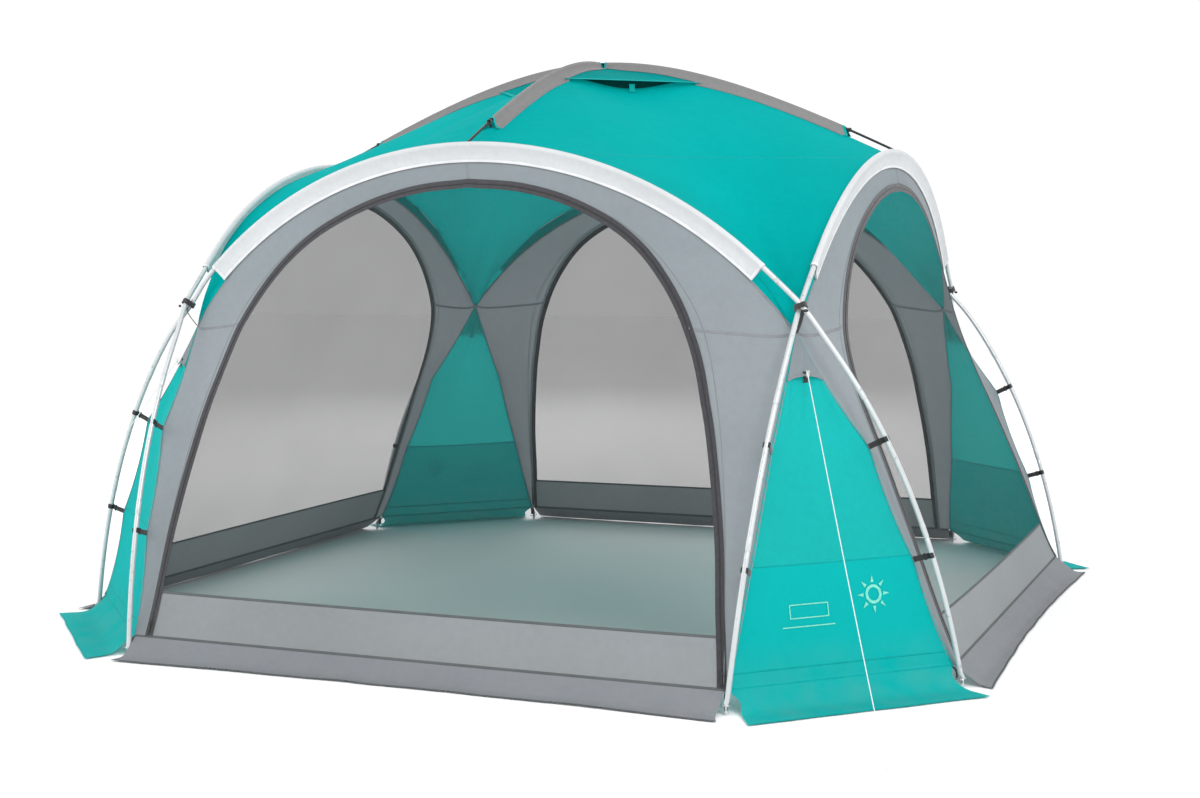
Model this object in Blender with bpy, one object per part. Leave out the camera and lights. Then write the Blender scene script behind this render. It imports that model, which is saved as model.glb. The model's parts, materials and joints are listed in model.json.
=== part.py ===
"""Screen house: four steel arches, two roof poles, a fabric dome and four screened walls.

The shelter has the same shape on all four sides, so each piece is described for the front (-Y) side
and turned about Z for the right, back and left sides.  Fabric pieces are thin closed solids.
Metres, +Z up, origin on the ground under the centre of the roof.
"""
import math

import bmesh
import bpy
import numpy as np
from mathutils import Matrix, Vector

# ---- driving dimensions -------------------------------------------------------------------------
FOOT_OUT = 1.830            # half the span of an arch, foot to middle
FOOT_SIDE = 1.185           # how far an arch's feet stand from the middle line of the shelter
ARCH_LEAN = 0.066           # outward lean of an arch's plane, metres per metre of height
ARCH_TOP = 1.9044           # height of the pole's centre line at the top of an arch
ARCH_HALF = 2.892           # length of half an arch along its curve
CROWN_HALF = 0.960          # the crown bends evenly this far from the top
CROWN_BEND = 0.6064         # curvature of the crown, 1/m
FOOT_BEND = 0.2576          # curvature at the foot, 1/m
CROWN_SPLIT = 1.315         # the leg pole plugs on to the crown pole here
PLUG_GAP = 0.002            # crown and leg solids meet inside the joint with this gap
POLE_R = 0.0095             # steel arch pole
FOOT_PIN = 0.030            # straight foot at the end of a leg
WEAVE = 0.0104              # half the spacing of two poles where they cross
WEAVE_REACH = 0.10          # how far along the pole that offset fades

ROOF_TOP = 2.315            # height of the roof poles' centre line in the middle
ROOF_FALL = 0.58            # steepest slope that the roof pole approaches
ROOF_ROUND = 0.87           # radius-like length of the rounded middle
ROOF_POLE_R = 0.005
ROOF_POLE_END = 1.292       # the roof pole stops here, just inside the arch
ROOF_WEAVE = 0.0055         # the two roof poles pass over each other
SLEEVE_START = 0.060        # the roof sleeves leave the crossing free
SLEEVE_END = 1.095
SLEEVE_FALL = 0.028         # the sleeve's flanges follow the canopy down, metres per unit of slope

SHEET = 0.002               # thickness of a fabric solid
GAP = 0.003                 # distance kept from a seam on each side
SEAM_OUT = 1.803            # bottom seam, from the middle of the shelter
SEAM_Z = 0.072              # bottom seam, where wall and ground skirt meet
WALL_STEP = 0.03            # spacing of the table that holds the shape of a wall
WALL_SPAN = 1.29            # and half its width
WALL_ROUNDS = 3000
SILL_Z = 0.232              # top of the solid strip under the screen
CORNER = (1.247, -1.247, 1.221)   # fabric corner under the crossing of two arches
SEAM_FOOT = (1.180, -1.795, SEAM_Z)
CANOPY_DROP = 0.020         # canopy edge below the arch pole's centre line
SLEEVE_DROP = 0.013         # white arch sleeve: upper and lower edge below the centre line
SLEEVE_DEEP = 0.060
BAND_DROP = 0.064
ARCH_SLEEVE_HALF = 1.255    # half the length of a white arch sleeve
ROOF_FULLNESS = 0.0042      # upward cut of the roof panels, metres per relaxing step
VENT_HOLE = 0.18            # half diagonal of the vent hole in the roof
VENT_CAP = 0.50             # half diagonal of the cap over it
GUY_R = 0.0015
CLIP_PLACES = (1.99, 2.42)  # clips between leg and side seam, metres along the arch from its top
CLIP_STRAP = 0.068          # side seam to the leg's centre line at a clip
SEAM_HOLLOW = 0.010
UPPER_COLUMNS = 10          # mesh columns of a band over its arch, and down its side seam
LOWER_COLUMNS = 8
SKIRT_COLUMNS = 8
SKIRT_FLARE = 0.035         # the ground skirt reaches further out at its ends
PANEL_COLUMNS = 6
BAND_ROWS = 4
SCREEN_ROWS = 15
SCREEN_COLUMNS = 11
HINGE_GAP = 0.004           # door sill above the bottom seam
SKIRT_TOP = 0.062           # upper edge of the ground skirt
SLIDER_LIFT = 0.006
SLIDER_Z = 0.110            # height of a zip slider at rest
SLIDER_REACH = 0.030        # the zip's direction is taken over this height
CAP_LENGTH = 0.185          # corner cap, metres down the side seam
CORNER_CAP_LIFT = 0.006
LOOP_SIDES = 16             # corners of a webbing loop's rings
SLIDER_THICK = 0.006
PROP_HALF_WIDTH = 0.0125    # vent prop, a stiff tab
PROP_HALF_THICK = 0.0015
PROP_LEAN = math.radians(6)
PROP_CLEAR = 0.0125         # vent prop's foot above the canopy edge it stands on
PROP_SHORT = 0.026          # the prop is shorter than the vent's opening by this
TIE_HALF_WIDTH = 0.011      # webbing loop round two crossing poles

SIDES = ("front", "right", "back", "left")
CORNERS = ("front_right", "back_right", "back_left", "front_left")

# Half outline of the zip on a wall seen square on, (distance from the middle, height), foot to top.
ZIP_OUTLINE = [(1.138, 0.059), (1.117, 0.292), (1.098, 0.510), (1.064, 0.739), (1.018, 0.969),
               (0.940, 1.213), (0.811, 1.418), (0.649, 1.571), (0.433, 1.683), (0.216, 1.743),
               (0.0, 1.763)]
# The taut cloth carries the opening a little to the wall's right or left: (height, to the right).
ZIP_DRIFT = ((0.06, 0.026), (0.30, 0.008), (0.52, -0.003), (0.75, -0.017), (0.98, -0.034),
             (1.22, -0.040), (1.42, -0.026), (1.57, -0.010), (1.70, 0.005), (1.763, 0.014))

# Outline of a zip slider and its pull, (across the zip, along it).
SLIDER_OUTLINE = ((-0.006, 0.0), (-0.008, 0.014), (-0.003, 0.020), (0.003, 0.020), (0.008, 0.014),
                  (0.006, 0.0), (0.004, -0.030), (-0.004, -0.030))

# Routes of the two guylines, from the tab under the corner cap to the ground.
GUYLINES = {
    "guyline_front_right": [(1.309, -1.309, 1.080), (1.440, -1.556, 0.803), (1.570, -1.801, 0.529),
                            (1.700, -2.045, 0.262), (1.830, -2.290, 0.004)],
    "guyline_front_left": [(-1.309, -1.309, 1.080), (-1.427, -1.497, 0.803), (-1.545, -1.685, 0.529),
                           (-1.663, -1.873, 0.262), (-1.780, -2.060, 0.004)],
}


# ---- materials ----------------------------------------------------------------------------------
def material(name, color, roughness=0.8, metallic=0.0, alpha=1.0):
    """Return a Principled material."""
    made = bpy.data.materials.new(name)
    made.use_nodes = True
    shader = made.node_tree.nodes["Principled BSDF"]
    shader.inputs["Base Color"].default_value = (*color, 1.0)
    shader.inputs["Roughness"].default_value = roughness
    shader.inputs["Metallic"].default_value = metallic
    shader.inputs["Alpha"].default_value = alpha
    return made


def palette():
    return {
        "teal": material("teal_fabric", (0.0, 0.48, 0.47)),
        "grey": material("grey_fabric", (0.36, 0.38, 0.40)),
        "white": material("white_fabric", (0.70, 0.72, 0.73)),
        "sill": material("sill_fabric", (0.21, 0.23, 0.24)),
        "taupe": material("sleeve_fabric", (0.31, 0.30, 0.30)),
        "mesh": material("screen_mesh", (0.10, 0.10, 0.10), 0.9, 0.0, 0.6),
        "steel": material("pole_steel", (0.68, 0.70, 0.70), 0.35, 0.8),
        "black": material("black_parts", (0.02, 0.02, 0.02), 0.5),
        "cord": material("guyline_cord", (0.80, 0.82, 0.82), 0.7),
    }


# ---- small helpers ------------------------------------------------------------------------------
def turned(point, side):
    """Turn a point of the front side to another side, a quarter turn for each step."""
    x, y, z = point
    for _ in range(side):
        x, y = -y, x
    return (x, y, z)


def turned_grid(grid, side):
    return np.array([[turned(p, side) for p in row] for row in grid])


def mirrored(point):
    """Swap the two sides of the front right corner."""
    x, y, z = point
    return np.array((-y, -x, z))


def ease(value):
    value = min(max(value, 0.0), 1.0)
    return value * value * (3 - 2 * value)


def resampled(points, count):
    """Evenly spaced points along a polyline."""
    line = np.array(points, float)
    along = np.concatenate([[0], np.cumsum(np.linalg.norm(np.diff(line, axis=0), axis=1))])
    wanted = np.linspace(0, along[-1], count)
    return np.stack([np.interp(wanted, along, line[:, k]) for k in range(line.shape[1])], axis=1)


def smooth_curve(points, count):
    """Points evenly spaced on a smooth curve through the given ones (Catmull-Rom)."""
    knots = np.array(points, float)
    ends = [2 * knots[0] - knots[1], *knots, 2 * knots[-1] - knots[-2]]
    fine = []
    for a, b, c, d in zip(ends, ends[1:], ends[2:], ends[3:]):
        for t in np.linspace(0, 1, 12, endpoint=False):
            fine.append(0.5 * (2 * b + (c - a) * t + (2 * a - 5 * b + 4 * c - d) * t ** 2
                               + (3 * b - a - 3 * c + d) * t ** 3))
    return resampled([*fine, knots[-1]], count)


def relaxed(grid, free=None, rounds=400, fullness=0.0):
    """Pull a grid tight between its fixed border, as cloth is; fullness crowns it upwards."""
    grid = np.array(grid, float)
    inner = np.ones_like(grid[1:-1, 1:-1]) if free is None else free[1:-1, 1:-1]
    for _ in range(rounds):
        mean = (grid[:-2, 1:-1] + grid[2:, 1:-1] + grid[1:-1, :-2] + grid[1:-1, 2:]) / 4
        grid[1:-1, 1:-1] += inner * (mean - grid[1:-1, 1:-1]) + (0, 0, fullness)
    return grid


def ruled(edge_a, edge_b, rows):
    """Grid of rows between two edges of the same number of points."""
    a, b = np.array(edge_a, float), np.array(edge_b, float)
    return np.array([a + (b - a) * t for t in np.linspace(0, 1, rows)])


def toward(edge, other, distance):
    """Move the points of an edge a set distance towards another edge."""
    a, b = np.array(edge, float), np.array(other, float)
    step = b - a
    return a + step * (distance / np.linalg.norm(step, axis=1))[:, None]


def add_object(name, mesh, look):
    obj = bpy.data.objects.new(name, mesh)
    bpy.context.scene.collection.objects.link(obj)
    mesh.materials.append(look)
    return obj


def add_sheet(name, grids, look):
    """One fabric solid from grids of points that share their common edges."""
    shape = bmesh.new()
    for grid in grids:
        rows = [[shape.verts.new(p) for p in row] for row in grid]
        for lower, upper in zip(rows, rows[1:]):
            for i in range(len(lower) - 1):
                quad = [lower[i], lower[i + 1], upper[i + 1], upper[i]]
                shape.faces.new(quad)
    bmesh.ops.remove_doubles(shape, verts=shape.verts[:], dist=0.00002)
    bmesh.ops.recalc_face_normals(shape, faces=shape.faces[:])
    return finish_sheet(name, shape, look)


def finish_sheet(name, shape, look):
    mesh = bpy.data.meshes.new(name)
    shape.to_mesh(mesh)
    shape.free()
    mesh.shade_smooth()
    obj = add_object(name, mesh, look)
    thick = obj.modifiers.new("thickness", "SOLIDIFY")
    thick.thickness = SHEET
    thick.offset = 0.0
    return obj


def finish_solid(name, shape, look):
    bmesh.ops.recalc_face_normals(shape, faces=shape.faces[:])
    mesh = bpy.data.meshes.new(name)
    shape.to_mesh(mesh)
    shape.free()
    mesh.shade_smooth()
    return add_object(name, mesh, look)


def add_tube(name, points, radius, look, resolution=2):
    curve = bpy.data.curves.new(name, "CURVE")
    curve.dimensions = "3D"
    curve.bevel_depth = radius
    curve.bevel_resolution = resolution
    curve.render_resolution_u = 0
    curve.use_fill_caps = True
    spline = curve.splines.new("POLY")
    spline.points.add(len(points) - 1)
    for slot, point in zip(spline.points, points):
        slot.co = (*point, 1.0)
    return add_object(name, curve, look)


# ---- the arch -----------------------------------------------------------------------------------
def arch_table(step=0.001):
    """Centre line of half an arch in its own plane: length, across, height, angle."""
    length = np.arange(0, ARCH_HALF + step, step)
    past = np.maximum(length - CROWN_HALF, 0)
    fade = (FOOT_BEND - CROWN_BEND) / (ARCH_HALF - CROWN_HALF)
    angle = CROWN_BEND * length + fade * past ** 2 / 2
    across = np.concatenate([[0], np.cumsum(np.cos(angle[:-1]) * step)])
    height = ARCH_TOP - np.concatenate([[0], np.cumsum(np.sin(angle[:-1]) * step)])
    return length, across, height, angle


ARCH = arch_table()


def crossing_length():
    """Length along the arch at which it meets the next arch."""
    length, across, height, _ = ARCH
    return length[np.argmin(np.abs(across - FOOT_SIDE - ARCH_LEAN * height))]


CROSSING = crossing_length()


def arch_point(along, drop=0.0, inset=0.0):
    """Point on the front arch at a signed length from its top.

    drop moves it inwards in the arch's plane, inset towards the middle of the shelter.
    """
    length, across, height, angle = ARCH
    side = -1.0 if along < 0 else 1.0
    s = abs(along)
    tilt = np.interp(s, length, angle)
    x = side * (np.interp(s, length, across) - drop * math.sin(tilt))
    z = np.interp(s, length, height) - drop * math.cos(tilt)
    return np.array((x, -(FOOT_SIDE + ARCH_LEAN * z) + inset, z))


def pole_point(along):
    """Centre of the arch pole, which passes outside the next arch on its right and inside on its left."""
    side = -1.0 if along < 0 else 1.0
    outward = np.array((0.622 * side, -0.622, 0.477))
    fade = math.exp(-((abs(along) - CROSSING) / WEAVE_REACH) ** 2)
    return arch_point(along) + outward * (WEAVE * fade * side)


def leg_points(side):
    points = [pole_point(side * s) for s in np.linspace(CROWN_SPLIT + PLUG_GAP, ARCH_HALF - 0.05, 13)]
    foot = np.array((side * FOOT_OUT, -FOOT_SIDE, 0.0))
    return [*points, foot + (0, 0, FOOT_PIN), foot]


def make_arch(side, name, looks):
    crown = [pole_point(s) for s in np.linspace(-CROWN_SPLIT, CROWN_SPLIT, 19)]
    add_tube(f"{name}_arch_crown", [turned(p, side) for p in crown], POLE_R, looks["steel"])
    for end, label in ((-1, "left"), (1, "right")):
        leg = [turned(p, side) for p in leg_points(end)]
        add_tube(f"{name}_arch_leg_{label}", leg, POLE_R, looks["steel"])


def make_arch_sleeve(side, name, looks):
    stations = np.linspace(-ARCH_SLEEVE_HALF, ARCH_SLEEVE_HALF, 25)
    grid = [[arch_point(s, drop) for s in stations] for drop in (SLEEVE_DROP, SLEEVE_DEEP)]
    add_sheet(f"arch_sleeve_{name}", [turned_grid(grid, side)], looks["white"])


def loop_ring(middle, across, out, wide, deep):
    """Ring of points round a middle, half as wide and deep as given."""
    ring = []
    for turn in np.linspace(0, 2 * math.pi, LOOP_SIDES, endpoint=False):
        ring.append(middle + across * wide * math.cos(turn) + out * deep * math.sin(turn))
    return ring


def make_pole_tie(side, name, looks):
    """Webbing loop round the two crossing poles."""
    middle = arch_point(CROSSING)
    down = np.array((0.345, -0.345, -0.873))
    down /= np.linalg.norm(down)
    across = np.array((1.0, 1.0, 0.0)) / math.sqrt(2)
    out = np.cross(across, down)
    top, bottom = middle - down * TIE_HALF_WIDTH, middle + down * TIE_HALF_WIDTH
    rings = [loop_ring(top, across, out, 0.021, 0.0245), loop_ring(top, across, out, 0.0235, 0.027),
             loop_ring(bottom, across, out, 0.0235, 0.027), loop_ring(bottom, across, out, 0.021, 0.0245)]
    shape = bmesh.new()
    verts = [[shape.verts.new(turned(p, side)) for p in ring] for ring in rings]
    for a, b in zip(verts, [*verts[1:], verts[0]]):
        for i in range(LOOP_SIDES):
            n = (i + 1) % LOOP_SIDES
            shape.faces.new([a[i], a[n], b[n], b[i]])
    finish_solid(f"pole_tie_{name}", shape, looks["black"])


# ---- the roof -----------------------------------------------------------------------------------
def roof_height(distance):
    """Height of a roof pole's centre line at a distance from the middle."""
    return ROOF_TOP - ROOF_FALL * (math.hypot(distance, ROOF_ROUND) - ROOF_ROUND)


def make_roof_pole(name, side, lift, looks):
    points = []
    for t in np.linspace(-1, 1, 21):
        d = ROOF_POLE_END * t * abs(t) ** 0.6
        rise = lift * math.exp(-(d / 0.05) ** 2)
        points.append(turned((d, 0.0, roof_height(d) + rise), side))
    add_tube(name, points, ROOF_POLE_R, looks["black"])


def make_roof_sleeve(side, name, looks):
    """Open channel over one half of a roof pole, with a flange on each side."""
    profile = ((-0.036, -0.013), (-0.012, -0.004), (-0.0085, 0.0105),
               (0.0085, 0.0105), (0.012, -0.004), (0.036, -0.013))
    grid = []
    for d in np.linspace(SLEEVE_START, SLEEVE_END, 13):
        slope = -ROOF_FALL * d / math.hypot(d, ROOF_ROUND)
        fall = SLEEVE_FALL * slope - CAP_LIFT * ease((d - VENT_CAP) / 0.1)
        up = np.array((0.0, slope, 1.0)) / math.hypot(slope, 1.0)
        base = np.array((0.0, -d, roof_height(d)))
        flipped = up * (1, -1, 1)
        row = []
        for across, level in profile:
            drop = fall if abs(across) > 0.03 else 0.0
            row.append(base + np.array((across, 0.0, 0.0)) + flipped * (level + drop))
        grid.append(row)
    add_sheet(f"roof_sleeve_{name}", [turned_grid(grid, side)], looks["taupe"])


ROOF_ROWS = (0.0, 0.09, VENT_HOLE, 0.34, VENT_CAP, 0.66, 0.82, 0.98, 1.14, 1.298)
HALF_COLUMNS = 6
CANOPY_SEAM = 0.026         # canopy below the roof pole's centre line
CAP_LIFT = 0.007            # vent cap above the canopy


def canopy_edge():
    """Outer edge of the front right roof quarter: front arch, fabric corner, right arch."""
    front = []
    for s in np.linspace(0, CROSSING, HALF_COLUMNS + 1):
        point = arch_point(s, CANOPY_DROP, 0.008)
        corner = np.array(CORNER) + (0, 0, 0.006)
        front.append(point + (corner - point) * ease((s - 1.05) / (CROSSING - 1.05)))
    return [*front, *[mirrored(p) for p in front[-2::-1]]]


def roof_quarter():
    """Grid over the front right quarter: rows from the middle outwards, columns front to right."""
    columns = 2 * HALF_COLUMNS + 1
    outer = np.array(canopy_edge())
    grid = np.zeros((len(ROOF_ROWS), columns, 3))
    free = np.ones_like(grid)
    for j, d in enumerate(ROOF_ROWS):
        z = roof_height(d) - CANOPY_SEAM
        for i, t in enumerate(np.linspace(0, 1, columns)):
            grid[j, i] = (d * t, -d * (1 - t), z)
        if d <= VENT_CAP:
            free[j, :, :2] = 0
    inside = ROOF_ROWS.index(VENT_CAP)
    for j in range(inside + 1, len(ROOF_ROWS)):
        t = (ROOF_ROWS[j] - VENT_CAP) / (ROOF_ROWS[-1] - VENT_CAP)
        blend = grid[inside] + (outer - grid[inside]) * t
        grid[j, 1:-1] = blend[1:-1]
        grid[j, 0, 2] += t * (outer[0, 2] - (roof_height(ROOF_ROWS[-1]) - CANOPY_SEAM))
        grid[j, -1, 2] = grid[j, 0, 2]
    grid[-1] = outer
    return relaxed(grid, free, fullness=ROOF_FULLNESS)


def vent_cap_grid(canopy, raised):
    """Cap over the vent hole; a raised quarter stands open along its straight edge."""
    rows = ROOF_ROWS.index(VENT_CAP) + 1
    cap = np.array(canopy[:rows])
    chord = cap[-1, 0, 2]
    columns = cap.shape[1]
    for j in range(rows):
        share = (ROOF_ROWS[j] / VENT_CAP) ** 2
        for i in range(columns):
            open_gap = (chord - cap[-1, i, 2]) * share if raised else 0.0
            cap[j, i, 2] += CAP_LIFT + open_gap
    return cap


def make_roof(looks):
    canopy = roof_quarter()
    hole = ROOF_ROWS.index(VENT_HOLE)
    add_sheet("roof_canopy", [turned_grid(canopy[hole:], k) for k in range(4)], looks["teal"])
    caps = [turned_grid(vent_cap_grid(canopy, k in (0, 2)), k) for k in range(4)]
    add_sheet("roof_vent_cap", caps, looks["teal"])
    edge = canopy[ROOF_ROWS.index(VENT_CAP)]
    middle = edge[HALF_COLUMNS]
    for name, side in (("vent_prop_front", 0), ("vent_prop_back", 2)):
        make_vent_prop(name, side, middle, edge[0, 2] + CAP_LIFT - middle[2], looks)


def make_vent_prop(name, side, foot, height, looks):
    """Stiff tab that holds the vent open; it leans inwards and its origin is its hinge."""
    inward = np.array((-1.0, 1.0, 0.0)) / math.sqrt(2)
    across = np.array((1.0, 1.0, 0.0)) / math.sqrt(2)
    up = np.array((0.0, 0.0, 1.0)) * math.cos(PROP_LEAN) + inward * math.sin(PROP_LEAN)
    flat = np.cross(across, up)
    base = np.array(foot) + inward * 0.012 + (0.0, 0.0, PROP_CLEAR)
    tall = height - PROP_SHORT
    box = np.stack([across * 2 * PROP_HALF_WIDTH, flat * 2 * PROP_HALF_THICK, up * tall], axis=1)
    shape = bmesh.new()
    place = Matrix.Translation(Vector(up * tall / 2)) @ Matrix(box.tolist()).to_4x4()
    bmesh.ops.create_cube(shape, size=1.0, matrix=place)
    prop = finish_solid(name, shape, looks["teal"])
    prop.location = turned(base, side)
    prop.rotation_euler = (0.0, 0.0, side * math.pi / 2)


# ---- the walls ----------------------------------------------------------------------------------
def side_seam(count):
    """Seam between the front wall and the front right corner panel, from the fabric corner down.

    Two clips pull it towards the leg of the next arch; between them it runs a little hollow.
    """
    leg = [mirrored(arch_point(s, CLIP_STRAP)) for s in CLIP_PLACES]
    knots = [np.array(CORNER), *leg, np.array(SEAM_FOOT)]
    line = []
    for a, b in zip(knots, knots[1:]):
        inward = np.array((-0.25, 1.0, -0.35)) / 1.089
        for t in np.linspace(0, 1, 12, endpoint=False):
            line.append(a + (b - a) * t + inward * (SEAM_HOLLOW * 4 * t * (1 - t)))
    return resampled([*line, knots[-1]], count)


def wall_rim(over, down):
    """Right half of a wall's rim, from the top of its arch over the fabric corner to its foot."""
    corner = np.array(CORNER) + (-0.002, -0.003, -0.004)
    rim = []
    for s in np.linspace(0, CROSSING, over + 1):
        point = arch_point(s, BAND_DROP, 0.003)
        rim.append(point + (corner - point) * ease((s - 1.15) / (CROSSING - 1.15)))
    return np.array([*rim, *side_seam(down + 1)[1:]])


def wall_table():
    """Depth of a wall over a square grid of (x, z): taut cloth, pulled tight from its rim."""
    rim = wall_rim(60, 60)[::-1]
    x = np.arange(-WALL_SPAN, WALL_SPAN + WALL_STEP / 2, WALL_STEP)
    z = np.arange(SEAM_Z, rim[-1, 2] + WALL_STEP, WALL_STEP)
    half = np.interp(z, rim[:, 2], rim[:, 0])
    inside = np.abs(x)[None, :] < half[:, None]
    depth = np.repeat(np.interp(z, rim[:, 2], rim[:, 1])[:, None], len(x), axis=1)
    depth[0] = -SEAM_OUT
    for _ in range(WALL_ROUNDS):
        mean = (depth[:-2, 1:-1] + depth[2:, 1:-1] + depth[1:-1, :-2] + depth[1:-1, 2:]) / 4
        depth[1:-1, 1:-1] += inside[1:-1, 1:-1] * (mean - depth[1:-1, 1:-1])
    return depth


WALL = wall_table()


def wall_point(x, z):
    """Point on the front wall, read from the table between its four nearest places."""
    across = min(max((x + WALL_SPAN) / WALL_STEP, 0.0), WALL.shape[1] - 1.001)
    up = min(max((z - SEAM_Z) / WALL_STEP, 0.0), WALL.shape[0] - 1.001)
    i, j = int(across), int(up)
    u, v = across - i, up - j
    low = WALL[j, i] * (1 - u) + WALL[j, i + 1] * u
    high = WALL[j + 1, i] * (1 - u) + WALL[j + 1, i + 1] * u
    return np.array((x, low * (1 - v) + high * v, z))


def zip_line(shift, low, count):
    """Right half of a wall's zip line moved outwards by shift, from the height low up to the top."""
    line = smooth_curve(ZIP_OUTLINE, 240)
    step = np.gradient(line, axis=0)
    outward = np.stack([step[:, 1], -step[:, 0]], axis=1)
    line += shift * outward / np.linalg.norm(outward, axis=1)[:, None]
    line[-1, 0] = 0.0
    start = (np.interp(low, line[:, 1], line[:, 0]), low)
    return resampled([start, *line[line[:, 1] > low + 0.002]], count)


def drift(z):
    heights, shifts = zip(*ZIP_DRIFT)
    return np.interp(z, heights, shifts)


def wall_half(end, shift, low, count):
    """One half of the zip line on the front wall, left (-1) or right (1), from its foot to the top."""
    return [wall_point(end * x + drift(z), z) for x, z in zip_line(shift, low, count)]


def half_band(end):
    """Grid of half a band, left (-1) or right (1); its first column is at the top of the arch."""
    outer = wall_rim(UPPER_COLUMNS, LOWER_COLUMNS) * (end, 1.0, 1.0)
    inner = match_corner(np.array(wall_half(end, GAP, SEAM_Z, 80))[::-1])
    below = slice(UPPER_COLUMNS + 1, None)
    outer[below] = toward(outer[below], inner[below], GAP)
    grid = ruled(outer, inner, BAND_ROWS)
    for row in grid[1:-1]:
        row[:] = [wall_point(x, z) for x, _, z in row]
    return grid


def make_band(side, name, looks):
    """Fabric band between the arch sleeve, the side seams and the zip."""
    left, right = half_band(-1), half_band(1)
    right[:, 0] = left[:, 0] = (left[:, 0] + right[:, 0]) / 2
    grid = np.concatenate([left[:, :0:-1], right], axis=1)
    add_sheet(f"arch_band_{name}", [turned_grid(grid, side)], looks["grey"])


def match_corner(inner):
    """Space the points of the band's inner edge so that one lies level with the fabric corner."""
    level = int(np.argmin(np.abs(inner[:, 2] - (CORNER[2] + 0.02))))
    upper = resampled(inner[:level + 1], UPPER_COLUMNS + 1)
    lower = resampled(inner[level:], LOWER_COLUMNS + 1)
    return np.concatenate([upper, lower[1:]])


def make_screen(side, name, looks):
    """Screen, with the curve of the taut wall; its top row closes in one point."""
    rows = []
    for half, z in zip_line(-GAP, SILL_Z + GAP / 2, SCREEN_ROWS):
        rows.append([wall_point(half * t + drift(z), z) for t in np.linspace(-1, 1, SCREEN_COLUMNS)])
    add_sheet(f"screen_{name}", [turned_grid(rows, side)], looks["mesh"])


def sill_rows(levels):
    """Rows of the solid strip between the zip's two sides."""
    line = zip_line(-GAP, SEAM_Z, 60)
    rows = []
    for z in levels:
        half = np.interp(z, line[:, 1], line[:, 0])
        middle = drift(z)
        rows.append([wall_point(half * t + middle, z) for t in np.linspace(-1, 1, SKIRT_COLUMNS + 1)])
    return rows


def skirt_rows(top_z):
    """Rows of the ground skirt, from under the seam out over the ground."""
    rows = []
    for z, out, half in ((top_z, 0.0, 1.148), (0.034, 0.034, 1.155), (0.008, 0.062, 1.166),
                         (0.003, 0.095, 1.186)):
        row = []
        for t in np.linspace(-1, 1, SKIRT_COLUMNS + 1):
            flare = SKIRT_FLARE * t * t * out / 0.095
            row.append(np.array((half * t, -SEAM_OUT - 0.001 - out - flare, z)))
        rows.append(row)
    return rows


def make_door_foot(side, name, looks):
    """Sill strip of a door, and the ground skirt under it that stays in place."""
    sill = sill_rows((SEAM_Z + HINGE_GAP, 0.15, SILL_Z - GAP / 2))
    add_sheet(f"door_sill_{name}", [turned_grid(sill, side)], looks["sill"])
    skirt = skirt_rows(SKIRT_TOP)
    add_sheet(f"ground_skirt_{name}", [turned_grid(skirt, side)], looks["sill"])


def make_wall_foot(side, name, looks):
    """Sill strip and ground skirt of a fixed wall, in one sheet."""
    levels = (SILL_Z - GAP / 2, 0.15, SEAM_Z + HINGE_GAP, SEAM_Z - HINGE_GAP)
    rows = [*sill_rows(levels), *skirt_rows(SKIRT_TOP)]
    add_sheet(f"wall_sill_{name}", [turned_grid(rows, side)], looks["sill"])


def make_zip_slider(side, name, end, looks):
    """Zip slider with its pull, on the outside of the zip just above the seam."""
    low = wall_half(end, 0.0, SLIDER_Z, 2)[0]
    high = wall_half(end, 0.0, SLIDER_Z + SLIDER_REACH, 2)[0]
    run = (high - low) / np.linalg.norm(high - low)
    across = np.cross(run, (0.0, -1.0, 0.0))
    across /= np.linalg.norm(across)
    out = np.cross(across, run)
    base = low + out * SLIDER_LIFT
    shape = bmesh.new()
    back = [shape.verts.new(turned(base + across * u + run * v, side)) for u, v in SLIDER_OUTLINE]
    face = shape.faces.new(back)
    lifted = bmesh.ops.extrude_face_region(shape, geom=[face])
    moved = [item for item in lifted["geom"] if isinstance(item, bmesh.types.BMVert)]
    bmesh.ops.translate(shape, verts=moved, vec=turned(out * SLIDER_THICK, side))
    finish_solid(name, shape, looks["black"])


# ---- the corners --------------------------------------------------------------------------------
def corner_grid(first, last, rows):
    """Grid between the two side seams of a corner, from first to last metre along the seam."""
    seam = side_seam(200)
    length = np.concatenate([[0], np.cumsum(np.linalg.norm(np.diff(seam, axis=0), axis=1))])
    grid = []
    for s in np.linspace(first, min(last, length[-1]), rows):
        near = np.array([np.interp(s, length, seam[:, k]) for k in range(3)])
        far = mirrored(near)
        inset = GAP / np.linalg.norm(far - near)
        grid.append([near + (far - near) * t for t in np.linspace(inset, 1 - inset, PANEL_COLUMNS + 1)])
    return grid


def make_corner(side, name, looks):
    """Teal panel with its ground skirt, and the grey cap over its top."""
    panel = relaxed(corner_grid(0.030, 9.9, 9), rounds=100)
    foot = np.array((1.0, -1.0, 0.0)) / math.sqrt(2)
    near, far = np.array((FOOT_SIDE, -FOOT_OUT, 0.0)), np.array((FOOT_OUT, -FOOT_SIDE, 0.0))
    skirt = [panel[-1]]
    for z, out, trim in ((0.040, 0.010, 0.050), (0.006, 0.060, 0.030), (0.003, 0.156, 0.0)):
        row = []
        for t in np.linspace(0, 1, PANEL_COLUMNS + 1):
            point = near + (far - near) * (trim + (1 - 2 * trim) * t) + foot * out
            row.append(np.array((point[0], point[1], z)))
        skirt.append(row)
    add_sheet(f"corner_panel_{name}", [turned_grid([*panel, *skirt[1:]], side)], looks["teal"])
    cap = relaxed(corner_grid(0.030, CAP_LENGTH, 4), rounds=60)
    lifted = cap + foot * CORNER_CAP_LIFT + (0, 0, 0.003)
    add_sheet(f"corner_cap_{name}", [turned_grid(lifted, side)], looks["grey"])


def make_guyline(name, route, looks):
    add_tube(name, smooth_curve(route, 16), GUY_R, looks["cord"])


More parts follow.
